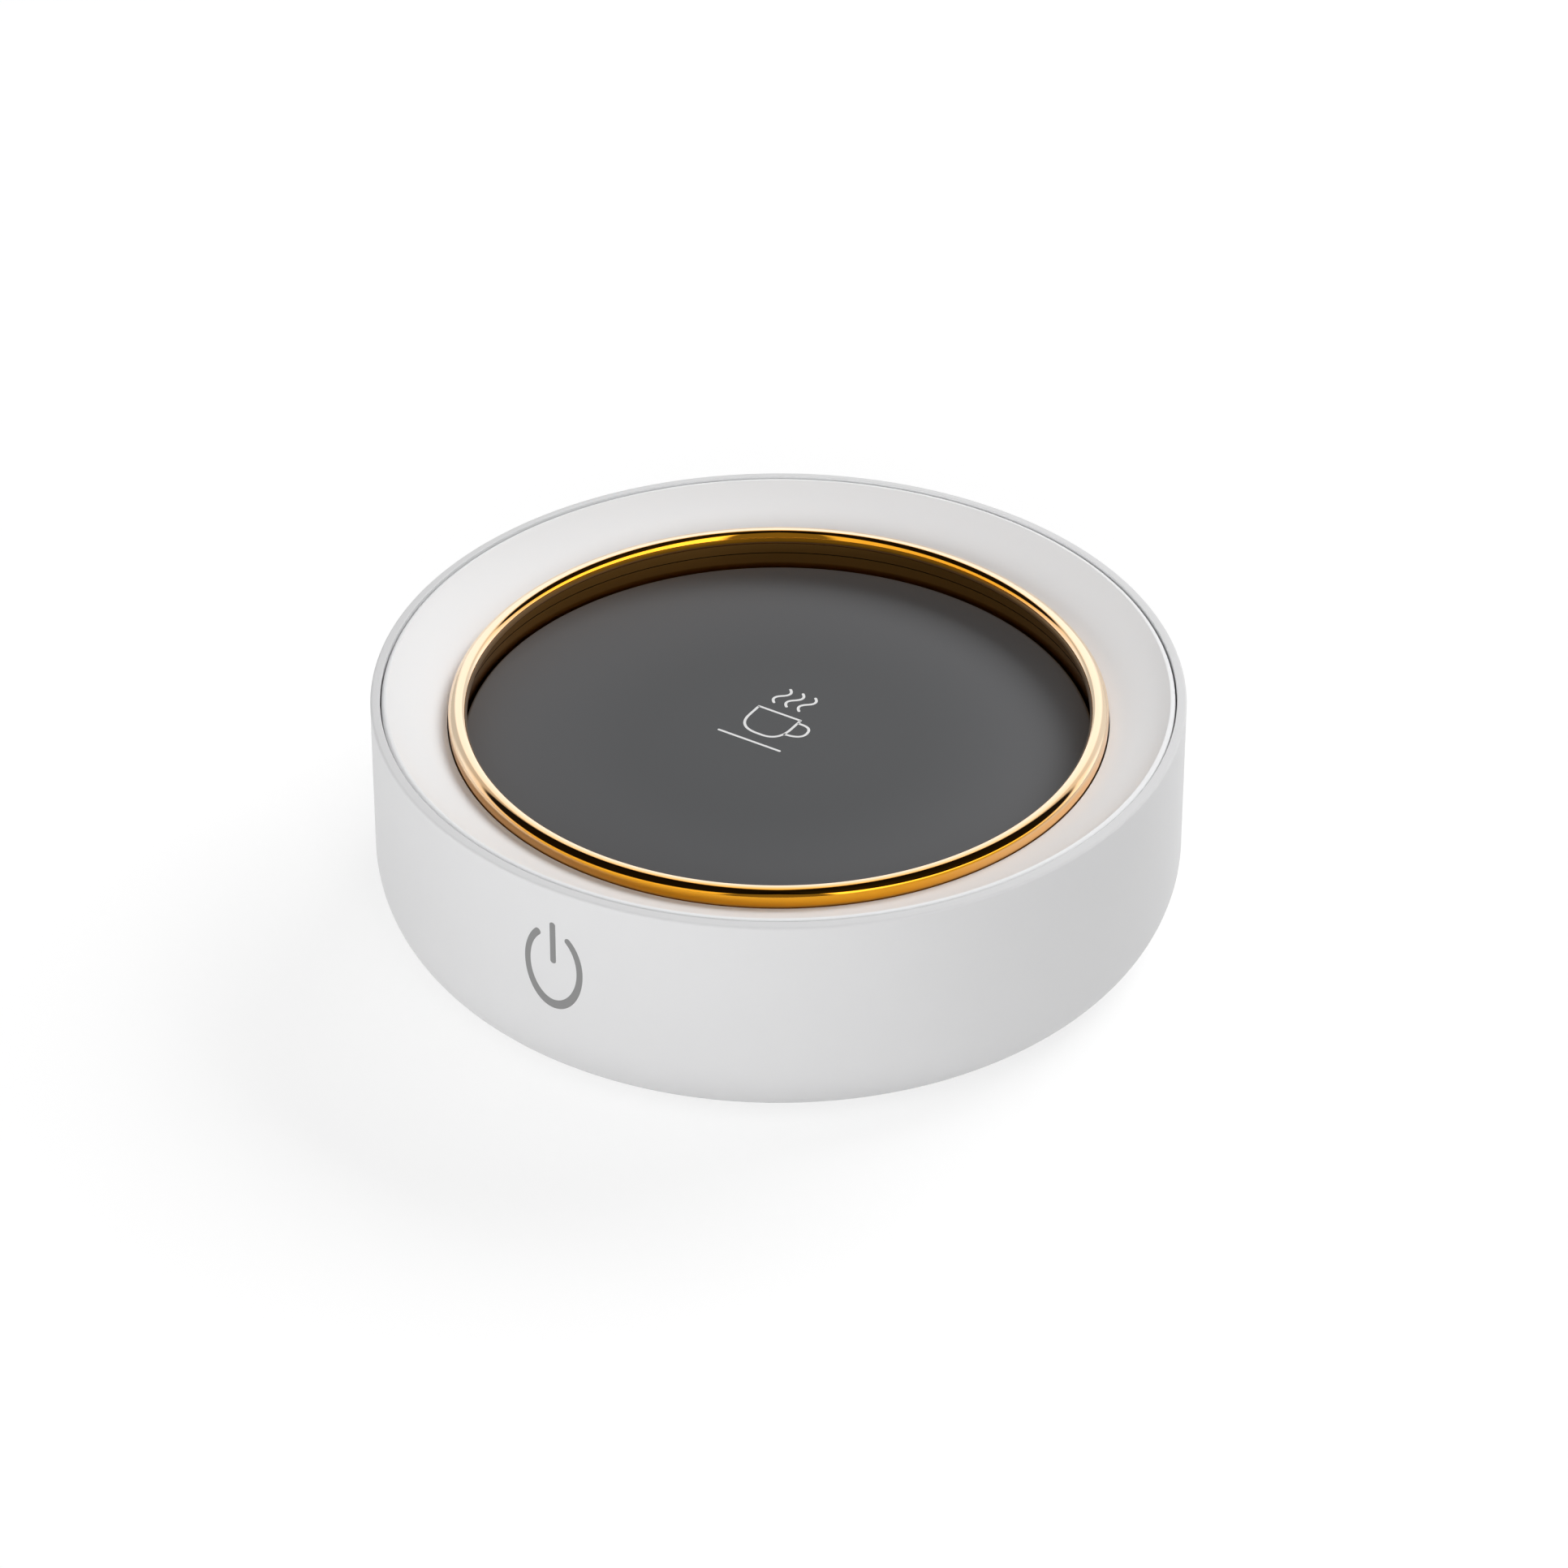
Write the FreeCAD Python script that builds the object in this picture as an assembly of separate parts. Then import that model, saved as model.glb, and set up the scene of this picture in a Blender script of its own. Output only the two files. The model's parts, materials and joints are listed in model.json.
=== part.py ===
import FreeCAD, Part
import math
import os

# Electric mug warmer: a round white bowl housing, a dished cover with a gilt collar, and a dark
# glass hot plate that floats on three springs and presses a small switch when a mug stands on it.
# Millimetres. Origin on the table below the centre, +Z up, front (touch key) at -Y, inlet at +Y.

Vector = FreeCAD.Vector
up = Vector(0, 0, 1)
across_way = Vector(1, 0, 0)
deep_way = Vector(0, 1, 0)
centre = Vector(0, 0, 0)
near = 0.001

# Clearances
plate_play = 0.3          # all round the glass, inside the gilt sleeve
ring_gap = 0.15           # gilt ring to the hole in the cover
seam_gap = 0.2            # cover to housing rim, the dark line in the photo
groove_gap = 0.1          # fine line between the gilt ring and the sleeve below it
guide_play = 0.1          # guide posts in their sleeves, plunger in its switch
screw_play = 0.05         # screw shank in its pilot hole
hole_play = 0.3           # screw shank in a plain hole
seat_play = 0.2           # foot in its recess, nose in the wall hole
limit_gap = 0.05          # left between plate and stop at the end of the travel
under_plate_gap = 0.2     # ribs to frame at the end of the travel
jack_gap = 0.4            # inlet to tray at the end of the travel
electrode_gap = 0.1       # touch electrode to the wall behind it
cut_over = 1.0            # how far a cut runs past the face that it opens
sink = 0.5                # how far a boss, post or rib starts inside what carries it
pilot_floor = 0.3         # left under a blind pilot hole
pilot_spare = 1.0         # pilot hole beyond the tip of its screw

# Stack from the table upwards
foot_stand = 1.0
floor_thickness = 2.4
board_standoff = 3.2
board_thickness = 1.6
frame_thickness = 2.4
tray_floor = 1.5
pad_thickness = 1.5
element_thickness = 0.5
spreader_thickness = 1.5
glass_thickness = 4.0
recess_depth = 8.8        # from the housing rim down to the glass

# Across, from the glass outwards
plate_radius = 46.7
ring_wall = 1.65
dish_width = 9.55
rim_band = 1.45

# Housing
wall = 2.4
corner_width = 9.75       # the soft lower corner is taller than it is wide
corner_height = 11.2
rim_edge = 0.4
ledge_depth = 3.0         # the cover's edge drops this far inside the rim

# Screws
slot_width = 0.5
slot_share = 0.4          # of the head's height
head_edge_share = 0.3     # of the head's height
head_rim = 1.0            # head beyond its shank

# Cover
dish_depth = 4.8
dish_sag = 0.5            # how hollow the dish is below a straight cone
cover_lip = 0.75
lip_drop = 0.1            # the dish starts this far below the rim
cover_skin = 2.0
cover_edge = 1.2          # thickness of the cover at its edge
collar_root = 1.2         # thickness of the dish where the collar leaves it
collar_wall = 1.5
post_radius = 2.8
cover_screw = 1.2
cover_screw_length = 9.0
cover_head_height = 1.5
web_gap = 1.0             # webs start this far above the sleeve's flange
trim_height = 5.0         # of the tool that trims the posts to the dish

# Gilt ring and sleeve
bead_overhang = 0.45
bead_drop = 2.15          # crest of the bead below the rim
bead_inner_height = 0.7   # upright part of the bead's inner face
bead_under = 0.85
ring_joint = 6.55         # ring meets sleeve this far below the rim
ring_tongue = 0.85
tongue_share = 0.45       # part of the ring's wall that the sleeve's lip takes up at the joint
flange_width = 2.35
flange_thickness = 1.0
sleeve_overlap = 1.8      # sleeve reaches this far below the glass

# Plate and its tray
glass_edge = 0.6
tray_inset = 0.5
tray_wall = 1.3
tray_edge = 0.6
seal_height = 0.5
spreader_gap = 0.4
element_inset = 2.5
element_slots = 6
element_slot_start = 14.7
element_slot_margin = 4.2
element_slot_half_angle = 1.0
rib_depth = 1.2
rib_width = 1.2
rib_count = 6
rib_margin = 3.0          # rib ends short of the tray's edge
rib_start_gap = 2.0       # and starts beyond the striker's hole

# Travel and guides
plate_travel = 0.8
guide_circle = 28.0
guide_angles = (30, 150, 270)
guide_post = 2.5
guide_wall = 1.4
spring_room = 2.6
cup_wall = 1.2
cup_depth = 5.0           # spring seat below the frame's top
spring_wire = 0.4
spring_turns = 4
spring_sides = 6
stop_washer_thickness = 0.5
stop_washer_radius = 4.0
stop_screw = 1.1
stop_screw_length = 5.0
stop_head_radius = 2.2
stop_head = 1.2

# Frame
window_inner = 12.0
window_outer = 40.0
window_half_angle = 36
window_corner = 2.0
lobe_rim = 0.6
lobe_root = 4.0           # lobe starts this far inside the frame's edge
upstand_wall = 1.8
frame_lip = 1.8
leg_radius = 3.4
leg_inset = 6.25
leg_screw = 1.4
leg_screw_length = 8.0
leg_head_height = 1.6
jack_side_room = 1.5      # notch for the inlet
jack_rear_room = 0.8
jack_top_room = 0.6
corner_angles = (45, 135, 225, 315)

# Housing floor
floor_boss_rim = 0.8
floor_boss_height = 2.4
well_radius = 3.1
well_depth = 2.4
well_play = 0.5           # screw head in its well
foot_radius = 6.0
foot_recess = 1.0
foot_edge = 0.6
foot_inset = 2.25
foot_angles = (0, 90, 180, 270)

# Boards and what is on them
board_boss = 2.6
board_screw = 0.9
board_head = 2.0
board_head_height = 1.3
board_screw_tip = 0.8     # above the floor
board_leg_gap = 0.7
stem_half_width = 16.0
stem_front = -10.0
board_step = 19.0         # where the stem widens
board_margin = 2.4        # board edge to the housing's inner face
stem_screws = ((13.0, -6.0), (-13.0, -6.0))
wing_screws = ((22.0, 40.0), (-22.0, 40.0))

# Inlet
jack_width = 9.0
jack_height = 9.8
jack_length = 12.5
jack_axis_height = 5.8
jack_nose = 4.0
jack_bore = 2.85
jack_bore_depth = 10.0
jack_pin = 1.05
jack_wall_gap = 1.6
jack_edge = 0.6
nose_inset = 0.4
pin_inset = 1.0

# Small parts: length, width and height, with the middle of each as x, y
sensor_size = (8.0, 4.0, 1.4)
sensor_spot = (0.0, -10.0)
sensor_edge = 0.5
fuse_size = (10.0, 4.0, 1.4)
fuse_spot = (15.0, 0.0)
fuse_edge = 0.4
pocket_play = 0.3
chip_size = (7.0, 7.0, 1.2)
chip_spot = (0.0, 28.0)
inductor_size = (10.0, 10.0, 4.6)
inductor_spot = (-14.0, 31.0)
inductor_corner = 2.0
capacitor_radius = 3.15
capacitor_height = 5.6
capacitor_edge = 0.5
capacitor_spots = ((14.5, 27.0), (14.5, 35.5))
ribbon_header_size = (6.4, 3.0, 2.4)
header_inset = 1.0        # from the board's front edge

# Switch
switch_length = 12.8
switch_width = 5.8
switch_height = 6.0
plunger_radius = 1.0
plunger_stand = 1.2
plunger_in_switch = 3.0
striker_radius = 2.0
striker_room = 0.6

# Leads
heater_lead_spot = (6.0, 17.0)
sensor_lead_spot = (-6.0, 17.0)
heater_lead = 1.2
sensor_lead = 0.9
lead_pitch = 2.2
lead_slack = 0.7          # how far a lead bows sideways
lead_straight = 0.22      # share of its rise that a lead runs straight at each end
lead_hole = 2.8
header_length = 7.0
header_width = 4.4
header_height = 5.0

# Touch key
front_angle = 270
electrode_thickness = 0.35
electrode_half_angle = 7.5
electrode_height = 15.0
electrode_drop = 6.0      # top of the electrode below the rim
ribbon_width = 4.0
ribbon_thickness = 0.3
ribbon_clear = 0.5
ribbon_bend_low = 0.7     # leaves the wall this far below the top of the housing's corner
ribbon_bend_in = 0.2
ribbon_flat_end = 8.0     # from the board's front edge
ribbon_rise_end = 2.4

# Levels that follow from the stack
floor_under = foot_stand
floor_top = floor_under + floor_thickness
board_low = floor_top + board_standoff
board_top = board_low + board_thickness
tray_low = board_top + jack_height + jack_gap + plate_travel
frame_top = tray_low - plate_travel - rib_depth - under_plate_gap
frame_low = frame_top - frame_thickness
tray_top = tray_low + tray_floor
pad_top = tray_top + pad_thickness
element_top = pad_top + element_thickness
glass_low = element_top + spreader_thickness
glass_top = glass_low + glass_thickness
rim_top = glass_top + recess_depth

# Radii that follow from the glass outwards
sleeve_bore = plate_radius + plate_play
ring_radius = sleeve_bore + ring_wall
sleeve_radius = ring_radius - ring_gap
cover_hole = ring_radius + ring_gap
cover_radius = cover_hole + dish_width
rim_inner = cover_radius + seam_gap
outer_radius = rim_inner + rim_band
inner_radius = outer_radius - wall
flat_radius = outer_radius - corner_width

# Places that follow from both
ledge_level = rim_top - ledge_depth
dish_low = rim_top - dish_depth
flange_low = glass_low - sleeve_overlap
flange_top = flange_low + flange_thickness
collar_radius = cover_hole + collar_wall
flange_radius = ring_radius + flange_width
lobe_radius = post_radius + lobe_rim
post_circle = inner_radius - lobe_radius - 2 * seat_play
leg_circle = flat_radius - leg_inset
leg_offset = leg_circle * math.cos(math.radians(45))
leg_foot = floor_top + floor_boss_height
foot_circle = flat_radius - foot_radius - foot_inset
frame_radius = flange_radius + frame_lip
sleeve_outer = guide_post + guide_play + guide_wall
cup_bore = sleeve_outer + spring_room
cup_radius = cup_bore + cup_wall
spring_seat = frame_top - cup_depth
cup_low = spring_seat - cup_wall
sleeve_high = tray_low - plate_travel - limit_gap
tray_radius = plate_radius - tray_inset
tray_bore = tray_radius - tray_wall
spreader_radius = tray_bore - spreader_gap
element_radius = spreader_radius - element_inset
seal_low = glass_low - seal_height
switch_top = board_top + switch_height
plunger_top = switch_top + plunger_stand
board_half_width = leg_offset - leg_radius - board_leg_gap
jack_axis = board_top + jack_axis_height
jack_front = inner_radius - jack_wall_gap
jack_back = jack_front - jack_length
nose_end = outer_radius - nose_inset
header_top = board_top + header_height


# Helpers

def at(radius, height):
    return Vector(radius, 0, height)


def line(start, end):
    return Part.LineSegment(at(*start), at(*end)).toShape()


def arc(start, middle, end):
    return Part.Arc(at(*start), at(*middle), at(*end)).toShape()


def lower_corner(middle, width, height):
    # A quarter of an ellipse, from straight below its middle to straight beside it.
    tall = height >= width
    first = (middle[0], middle[1] - height) if tall else (middle[0] + width, middle[1])
    second = (middle[0] + width, middle[1]) if tall else (middle[0], middle[1] - height)
    ellipse = Part.Ellipse(at(*first), at(*second), at(*middle))
    side = (middle[0] + width * math.sqrt(0.5), middle[1] - height * math.sqrt(0.5))
    ends = [ellipse.parameter(at(middle[0], middle[1] - height)),
            ellipse.parameter(at(middle[0] + width, middle[1]))]
    for low, high in (ends, ends[::-1]):
        edge = Part.ArcOfEllipse(ellipse, low, high).toShape()
        if edge.distToShape(Part.Vertex(at(*side)))[0] < near:
            return edge


def rounded(before, corner, after):
    # The middle and the end of an arc that rounds a right-angled corner, for outline.
    share = 1 - math.sqrt(0.5)
    middle = [corner[axis] + share * (before[axis] + after[axis] - 2 * corner[axis]) for axis in (0, 1)]
    return tuple(middle), after


def outline(start, *steps):
    # Steps are end points, (middle, end) pairs for arcs, or (edge, end) pairs for ready edges.
    edges = []
    here = start
    for step in steps:
        if isinstance(step[0], Part.Shape):
            edges.append(step[0])
            here = step[1]
        elif isinstance(step[0], tuple):
            edges.append(arc(here, step[0], step[1]))
            here = step[1]
        else:
            edges.append(line(here, step))
            here = step
    edges.append(line(here, start))
    return Part.Face(Part.Wire(Part.__sortEdges__(edges)))


def turned(start, *steps, angle=360):
    return outline(start, *steps).revolve(centre, up, angle)


def ring(inner, outer, low, high):
    return turned((inner, low), (outer, low), (outer, high), (inner, high))


def rod(radius, low, high, x=0.0, y=0.0):
    return Part.makeCylinder(radius, high - low, Vector(x, y, low))


def block(x_low, x_high, y_low, y_high, low, high):
    return Part.makeBox(x_high - x_low, y_high - y_low, high - low, Vector(x_low, y_low, low))


def case(size, spot, low, play=0.0):
    # An upright box with its middle over the spot; with play it is a pocket, wider all round and open above.
    across = size[0] / 2 + play
    deep = size[1] / 2 + play
    high = low + size[2] + (cut_over if play else 0)
    return block(spot[0] - across, spot[0] + across, spot[1] - deep, spot[1] + deep, low, high)


def sector(inner, outer, low, high, middle, half_angle):
    shape = turned((inner, low), (outer, low), (outer, high), (inner, high), angle=2 * half_angle)
    shape.rotate(centre, up, middle - half_angle)
    return shape


def edges_along(shape, way):
    return [edge for edge in shape.Edges if abs(edge.tangentAt(edge.FirstParameter).dot(way)) > 0.9]


def edges_at(shape, level):
    return [edge for edge in shape.Edges if abs(edge.CenterOfMass.z - level) < near]


def around(shape, angles):
    copies = []
    for angle in angles:
        copy = shape.copy()
        copy.rotate(centre, up, angle)
        copies.append(copy)
    return copies


def along_y(radius, y_low, y_high, height):
    return Part.makeCylinder(radius, y_high - y_low, Vector(0, y_low, height), deep_way)


def screw(head_radius, head_height, shank_radius, shank_length, seat, points_up, x=0.0, y=0.0):
    # The seat is the level under the head, where the shank begins.
    way = 1 if points_up else -1
    head_low, head_high = sorted((seat, seat - way * head_height))
    shank_low, shank_high = sorted((seat, seat + way * shank_length))
    head = rod(head_radius, head_low, head_high, x, y)
    head = head.makeChamfer(head_edge_share * head_height, edges_at(head, seat - way * head_height))
    slot = block(x - head_radius, x + head_radius, y - slot_width / 2, y + slot_width / 2, head_low, head_high)
    slot.translate(Vector(0, 0, -way * (1 - slot_share) * head_height))
    return head.cut(slot).fuse(rod(shank_radius, shank_low, shank_high, x, y)).removeSplitter()


def bent_path(points):
    # Straight runs joined by tangent arcs, each as large as its two runs allow.
    edges = []
    radii = []
    here = points[0]
    for before, corner, after in zip(points, points[1:], points[2:]):
        back = before - corner
        ahead = after - corner
        turn = math.pi - back.getAngle(ahead)
        reach = 0.45 * min(back.Length, ahead.Length)
        radii.append(reach / math.tan(turn / 2))
        back.normalize()
        ahead.normalize()
        enter = corner + back * reach
        leave = corner + ahead * reach
        inward = (back + ahead).normalize()
        middle = corner + inward * (radii[-1] / math.cos(turn / 2) - radii[-1])
        edges.append(Part.LineSegment(here, enter).toShape())
        edges.append(Part.Arc(enter, middle, leave).toShape())
        here = leave
    edges.append(Part.LineSegment(here, points[-1]).toShape())
    return Part.Wire(edges), radii


def tube(points, diameter, name):
    path, radii = bent_path(points)
    way = points[1] - points[0]
    section = Part.Wire(Part.makeCircle(diameter / 2, points[0], way))
    shape = path.makePipeShell([section], True, False)
    print(name, "tightest bend", round(min(radii), 2), "length", round(path.Length, 1),
          "volume against section", round(shape.Volume / (math.pi * diameter ** 2 / 4 * path.Length), 4))
    return shape


def joined(first, others):
    return first.fuse(others).removeSplitter()


# Outside pieces

def outer_housing():
    rim_inside = outer_radius - rim_edge
    shell = turned(
        (0, floor_under), (flat_radius, floor_under),
        (lower_corner((flat_radius, floor_under + corner_height), corner_width, corner_height),
         (outer_radius, floor_under + corner_height)),
        (outer_radius, rim_top - rim_edge),
        rounded((outer_radius, rim_top - rim_edge), (outer_radius, rim_top), (rim_inside, rim_top)),
        (rim_inner, rim_top), (rim_inner, ledge_level), (inner_radius, ledge_level),
        (inner_radius, floor_under + corner_height),
        (lower_corner((flat_radius, floor_under + corner_height), corner_width - wall,
                      corner_height - floor_thickness), (flat_radius, floor_top)),
        (0, floor_top))
    leg_boss = rod(leg_radius + floor_boss_rim, floor_top - sink, leg_foot, leg_circle)
    bosses = around(leg_boss, corner_angles)
    for x, y in stem_screws + wing_screws:
        bosses.append(rod(board_boss, floor_top - sink, board_low, x, y))
    shell = joined(shell, bosses)
    below = floor_under - cut_over
    foot_seat = rod(foot_radius + seat_play, below, floor_under + foot_recess, foot_circle)
    cuts = around(foot_seat, foot_angles)
    cuts += around(rod(well_radius, below, floor_under + well_depth, leg_circle), corner_angles)
    cuts += around(rod(leg_screw + hole_play, floor_under, leg_foot + cut_over, leg_circle), corner_angles)
    for x, y in stem_screws + wing_screws:
        cuts.append(rod(board_screw + screw_play, floor_top + pilot_floor, board_low + cut_over, x, y))
    cuts.append(along_y(jack_nose + seat_play, flat_radius, outer_radius + cut_over, jack_axis))
    return shell.cut(cuts)


def dish_curve():
    # Points of the dish, from the lip inwards: start, a point part of the way down, end.
    start = (cover_radius - cover_lip, rim_top - lip_drop)
    end = (cover_hole, dish_low)
    run = start[0] - end[0]
    rise = start[1] - end[1]
    length = math.hypot(run, rise)
    middle = ((start[0] + end[0]) / 2 + dish_sag * rise / length,
              (start[1] + end[1]) / 2 - dish_sag * run / length)
    return start, middle, end


def top_cover():
    start, middle, end = dish_curve()
    under_start = (start[0] - cover_edge, ledge_level)
    under_end = (collar_radius, end[1] - collar_root)
    under_middle = (middle[0], middle[1] - cover_skin)
    skin = turned(
        (cover_radius, ledge_level), (cover_radius, rim_top - cover_lip),
        rounded((cover_radius, rim_top - cover_lip), (cover_radius, start[1]), start),
        (middle, end), (cover_hole, flange_top), (collar_radius, flange_top), under_end,
        (under_middle, under_start))
    above = turned(start, (middle, end), (cover_hole, rim_top + trim_height), (start[0], rim_top + trim_height))
    post = rod(post_radius, frame_top, rim_top, post_circle)
    web_low = flange_top + web_gap
    web = block(collar_radius - sink, post_circle, -rib_width / 2, rib_width / 2, web_low, dish_low)
    post = post.fuse(web)
    posts = [one.cut(above) for one in around(post, corner_angles)]
    pilot_end = frame_low + cover_screw_length + pilot_spare
    pilots = around(rod(cover_screw + screw_play, frame_low, pilot_end, post_circle), corner_angles)
    return joined(skin, posts).cut(pilots)


def post_room(low, high):
    # Room for the cover's posts, where they would otherwise run into a piece that stands inside them.
    return around(rod(post_radius + seat_play, low, high, post_circle), corner_angles)


def trim_ring():
    bead_radius = (ring_wall + bead_overhang) / 2
    crest = rim_top - bead_drop
    inner = sleeve_bore - bead_overhang
    shoulder = crest - bead_radius
    under = shoulder - bead_inner_height
    joint = rim_top - ring_joint
    tongue = sleeve_bore + ring_wall * tongue_share
    return turned(
        (ring_radius, joint - ring_tongue), (ring_radius, shoulder),
        ((ring_radius - bead_radius, crest), (inner, shoulder)), (inner, under),
        rounded((inner, under), (inner, under - bead_under), (sleeve_bore, under - bead_under)),
        (sleeve_bore, joint), (tongue, joint), (tongue, joint - ring_tongue))


def inner_sleeve():
    joint = rim_top - ring_joint
    tongue = sleeve_bore + ring_wall * tongue_share - groove_gap
    sleeve = turned(
        (sleeve_bore, flange_low), (flange_radius, flange_low), (flange_radius, flange_top),
        (sleeve_radius, flange_top), (sleeve_radius, joint - ring_tongue), (tongue, joint - ring_tongue),
        (tongue, joint - groove_gap), (sleeve_bore, joint - groove_gap))
    return sleeve.cut(post_room(flange_low - cut_over, flange_top + cut_over))


def rubber_feet():
    foot = turned((0, 0), (foot_radius - foot_edge, 0),
                  rounded((foot_radius - foot_edge, 0), (foot_radius, 0), (foot_radius, foot_edge)),
                  (foot_radius, floor_under + foot_recess), (0, floor_under + foot_recess))
    foot.translate(Vector(foot_circle, 0, 0))
    return Part.makeCompound(around(foot, foot_angles))


def housing_screws():
    seat = floor_under + well_depth
    one = screw(well_radius - well_play, leg_head_height, leg_screw, leg_screw_length, seat, True, leg_circle)
    return Part.makeCompound(around(one, corner_angles))


# Frame and what carries the plate

def guide_spots():
    spots = []
    for angle in guide_angles:
        turn = math.radians(angle)
        spots.append((guide_circle * math.cos(turn), guide_circle * math.sin(turn)))
    return spots


def support_frame():
    plate = rod(frame_radius, frame_low, frame_top)
    windows = []
    for angle in guide_angles:
        middle = angle + 180 / len(guide_angles)
        window = sector(window_inner, window_outer, frame_low - cut_over, frame_top + cut_over, middle,
                        window_half_angle)
        windows.append(window.makeFillet(window_corner, edges_along(window, up)))
    plate = plate.cut(windows)
    upstand = ring(flange_radius - upstand_wall, flange_radius, frame_top - sink, flange_low)
    added = [upstand.cut(post_room(frame_top, flange_low + cut_over))]
    added += around(rod(lobe_radius, frame_low, frame_top, post_circle), corner_angles)
    arm = block(frame_radius - lobe_root, post_circle, -lobe_radius, lobe_radius, frame_low, frame_top)
    added += around(arm, corner_angles)
    added += around(rod(leg_radius, leg_foot, frame_top, leg_circle), corner_angles)
    added += [rod(cup_radius, cup_low, frame_top, x, y) for x, y in guide_spots()]
    frame = joined(plate, added)
    cuts = []
    for x, y in guide_spots():
        cuts.append(rod(cup_bore, spring_seat, frame_top + cut_over, x, y))
    frame = frame.cut(cuts)
    sleeves = [rod(sleeve_outer, cup_low, sleeve_high, x, y) for x, y in guide_spots()]
    frame = joined(frame, sleeves)
    below = frame_low - cut_over
    above = frame_top + cut_over
    cuts = [rod(guide_post + guide_play, cup_low - cut_over, sleeve_high + cut_over, x, y)
            for x, y in guide_spots()]
    cuts.append(rod(striker_radius + striker_room, below, above))
    cuts += around(rod(cover_screw + hole_play, below, above, post_circle), corner_angles)
    pilot_end = floor_under + well_depth + leg_screw_length + pilot_spare
    cuts += around(rod(leg_screw + screw_play, leg_foot - cut_over, pilot_end, leg_circle), corner_angles)
    notch = jack_width / 2 + jack_side_room
    notch_top = board_top + jack_height + jack_top_room
    cuts.append(block(-notch, notch, jack_back - jack_rear_room, outer_radius, below, notch_top))
    return frame.cut(cuts)


def frame_screws():
    one = screw(cover_screw + head_rim, cover_head_height, cover_screw, cover_screw_length, frame_low, True,
                post_circle)
    return Part.makeCompound(around(one, corner_angles))


def coil_spring(x, y):
    radius = sleeve_outer + spring_room / 2
    low = spring_seat + spring_wire
    high = tray_low - spring_wire
    helix = Part.makeHelix((high - low) / spring_turns, high - low, radius)
    slope = math.atan2((high - low) / spring_turns, 2 * math.pi * radius)
    corners = []
    for step in range(spring_sides + 1):
        turn = 2 * math.pi * (step + 0.5) / spring_sides
        side = spring_wire * math.cos(turn)
        rise = spring_wire * math.sin(turn)
        corners.append(Vector(radius + side, -rise * math.sin(slope), rise * math.cos(slope)))
    section = Part.makePolygon(corners)
    coil = Part.Wire(helix.Edges).makePipeShell([section], True, True)
    coil.translate(Vector(x, y, low))
    return coil


def return_springs():
    return Part.makeCompound([coil_spring(x, y) for x, y in guide_spots()])


# The floating plate

def glass_plate():
    return turned((0, glass_low), (plate_radius, glass_low), (plate_radius, glass_top - glass_edge),
                  rounded((plate_radius, glass_top - glass_edge), (plate_radius, glass_top),
                          (plate_radius - glass_edge, glass_top)), (0, glass_top))


def plate_seal():
    return ring(tray_bore, tray_radius, seal_low, glass_low)


def heat_spreader():
    return rod(spreader_radius, element_top, glass_low)


def heating_element():
    disc = rod(element_radius, pad_top, element_top)
    slots = []
    for index in range(element_slots):
        slots.append(sector(element_slot_start, element_radius - element_slot_margin, pad_top - cut_over,
                            element_top + cut_over, index * 360 / element_slots, element_slot_half_angle))
    return disc.cut(slots)


def lead_holes(low, high):
    holes = []
    for x, y in (heater_lead_spot, sensor_lead_spot):
        holes.append(rod(lead_hole, low, high, x, y))
    return holes


def insulation_pad():
    pad = rod(spreader_radius, tray_top, pad_top)
    pockets = [case(sensor_size, sensor_spot, tray_top, pocket_play),
               case(fuse_size, fuse_spot, tray_top, pocket_play)]
    return pad.cut(lead_holes(tray_top - cut_over, pad_top + cut_over) + pockets)


def temperature_sensor():
    body = case(sensor_size, sensor_spot, pad_top - sensor_size[2])
    return body.makeFillet(sensor_edge, edges_along(body, up))


def thermal_fuse():
    body = case(fuse_size, fuse_spot, pad_top - fuse_size[2])
    return body.makeChamfer(fuse_edge, edges_along(body, across_way))


def plate_tray():
    bowl = turned((0, tray_low), (tray_radius - tray_edge, tray_low), (tray_radius, tray_low + tray_edge),
                  (tray_radius, seal_low), (tray_bore, seal_low), (tray_bore, tray_top), (0, tray_top))
    added = [rod(striker_radius, plunger_top, tray_low + sink)]
    for x, y in guide_spots():
        added.append(rod(guide_post, cup_low, tray_low + sink, x, y))
    rib_start = striker_radius + striker_room + rib_start_gap
    for index in range(rib_count):
        rib = block(rib_start, tray_radius - rib_margin, -rib_width / 2, rib_width / 2,
                    tray_low - rib_depth, tray_low + sink)
        rib.rotate(centre, up, index * 360 / rib_count)
        added.append(rib)
    bowl = joined(bowl, added)
    cuts = lead_holes(tray_low - rib_depth - cut_over, tray_top + cut_over)
    pilot_end = cup_low - stop_washer_thickness + stop_screw_length + pilot_spare
    cuts += [rod(stop_screw + screw_play, cup_low - cut_over, pilot_end, x, y) for x, y in guide_spots()]
    return bowl.cut(cuts)


def stop_washers():
    low = cup_low - stop_washer_thickness
    washers = []
    for x, y in guide_spots():
        washer = rod(stop_washer_radius, low, cup_low, x, y)
        washers.append(washer.cut(rod(stop_screw + screw_play, low - cut_over, cup_low + cut_over, x, y)))
    return Part.makeCompound(washers)


def stop_screws():
    seat = cup_low - stop_washer_thickness
    screws = []
    for x, y in guide_spots():
        screws.append(screw(stop_head_radius, stop_head, stop_screw, stop_screw_length, seat, True, x, y))
    return Part.makeCompound(screws)


# Electrical pieces

def inner_face(level):
    # Radius of the housing's inner face at a level, also inside its lower corner.
    drop = floor_under + corner_height - level
    if drop <= 0:
        return inner_radius
    return flat_radius + (corner_width - wall) * math.sqrt(1 - (drop / (corner_height - floor_thickness)) ** 2)


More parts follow.
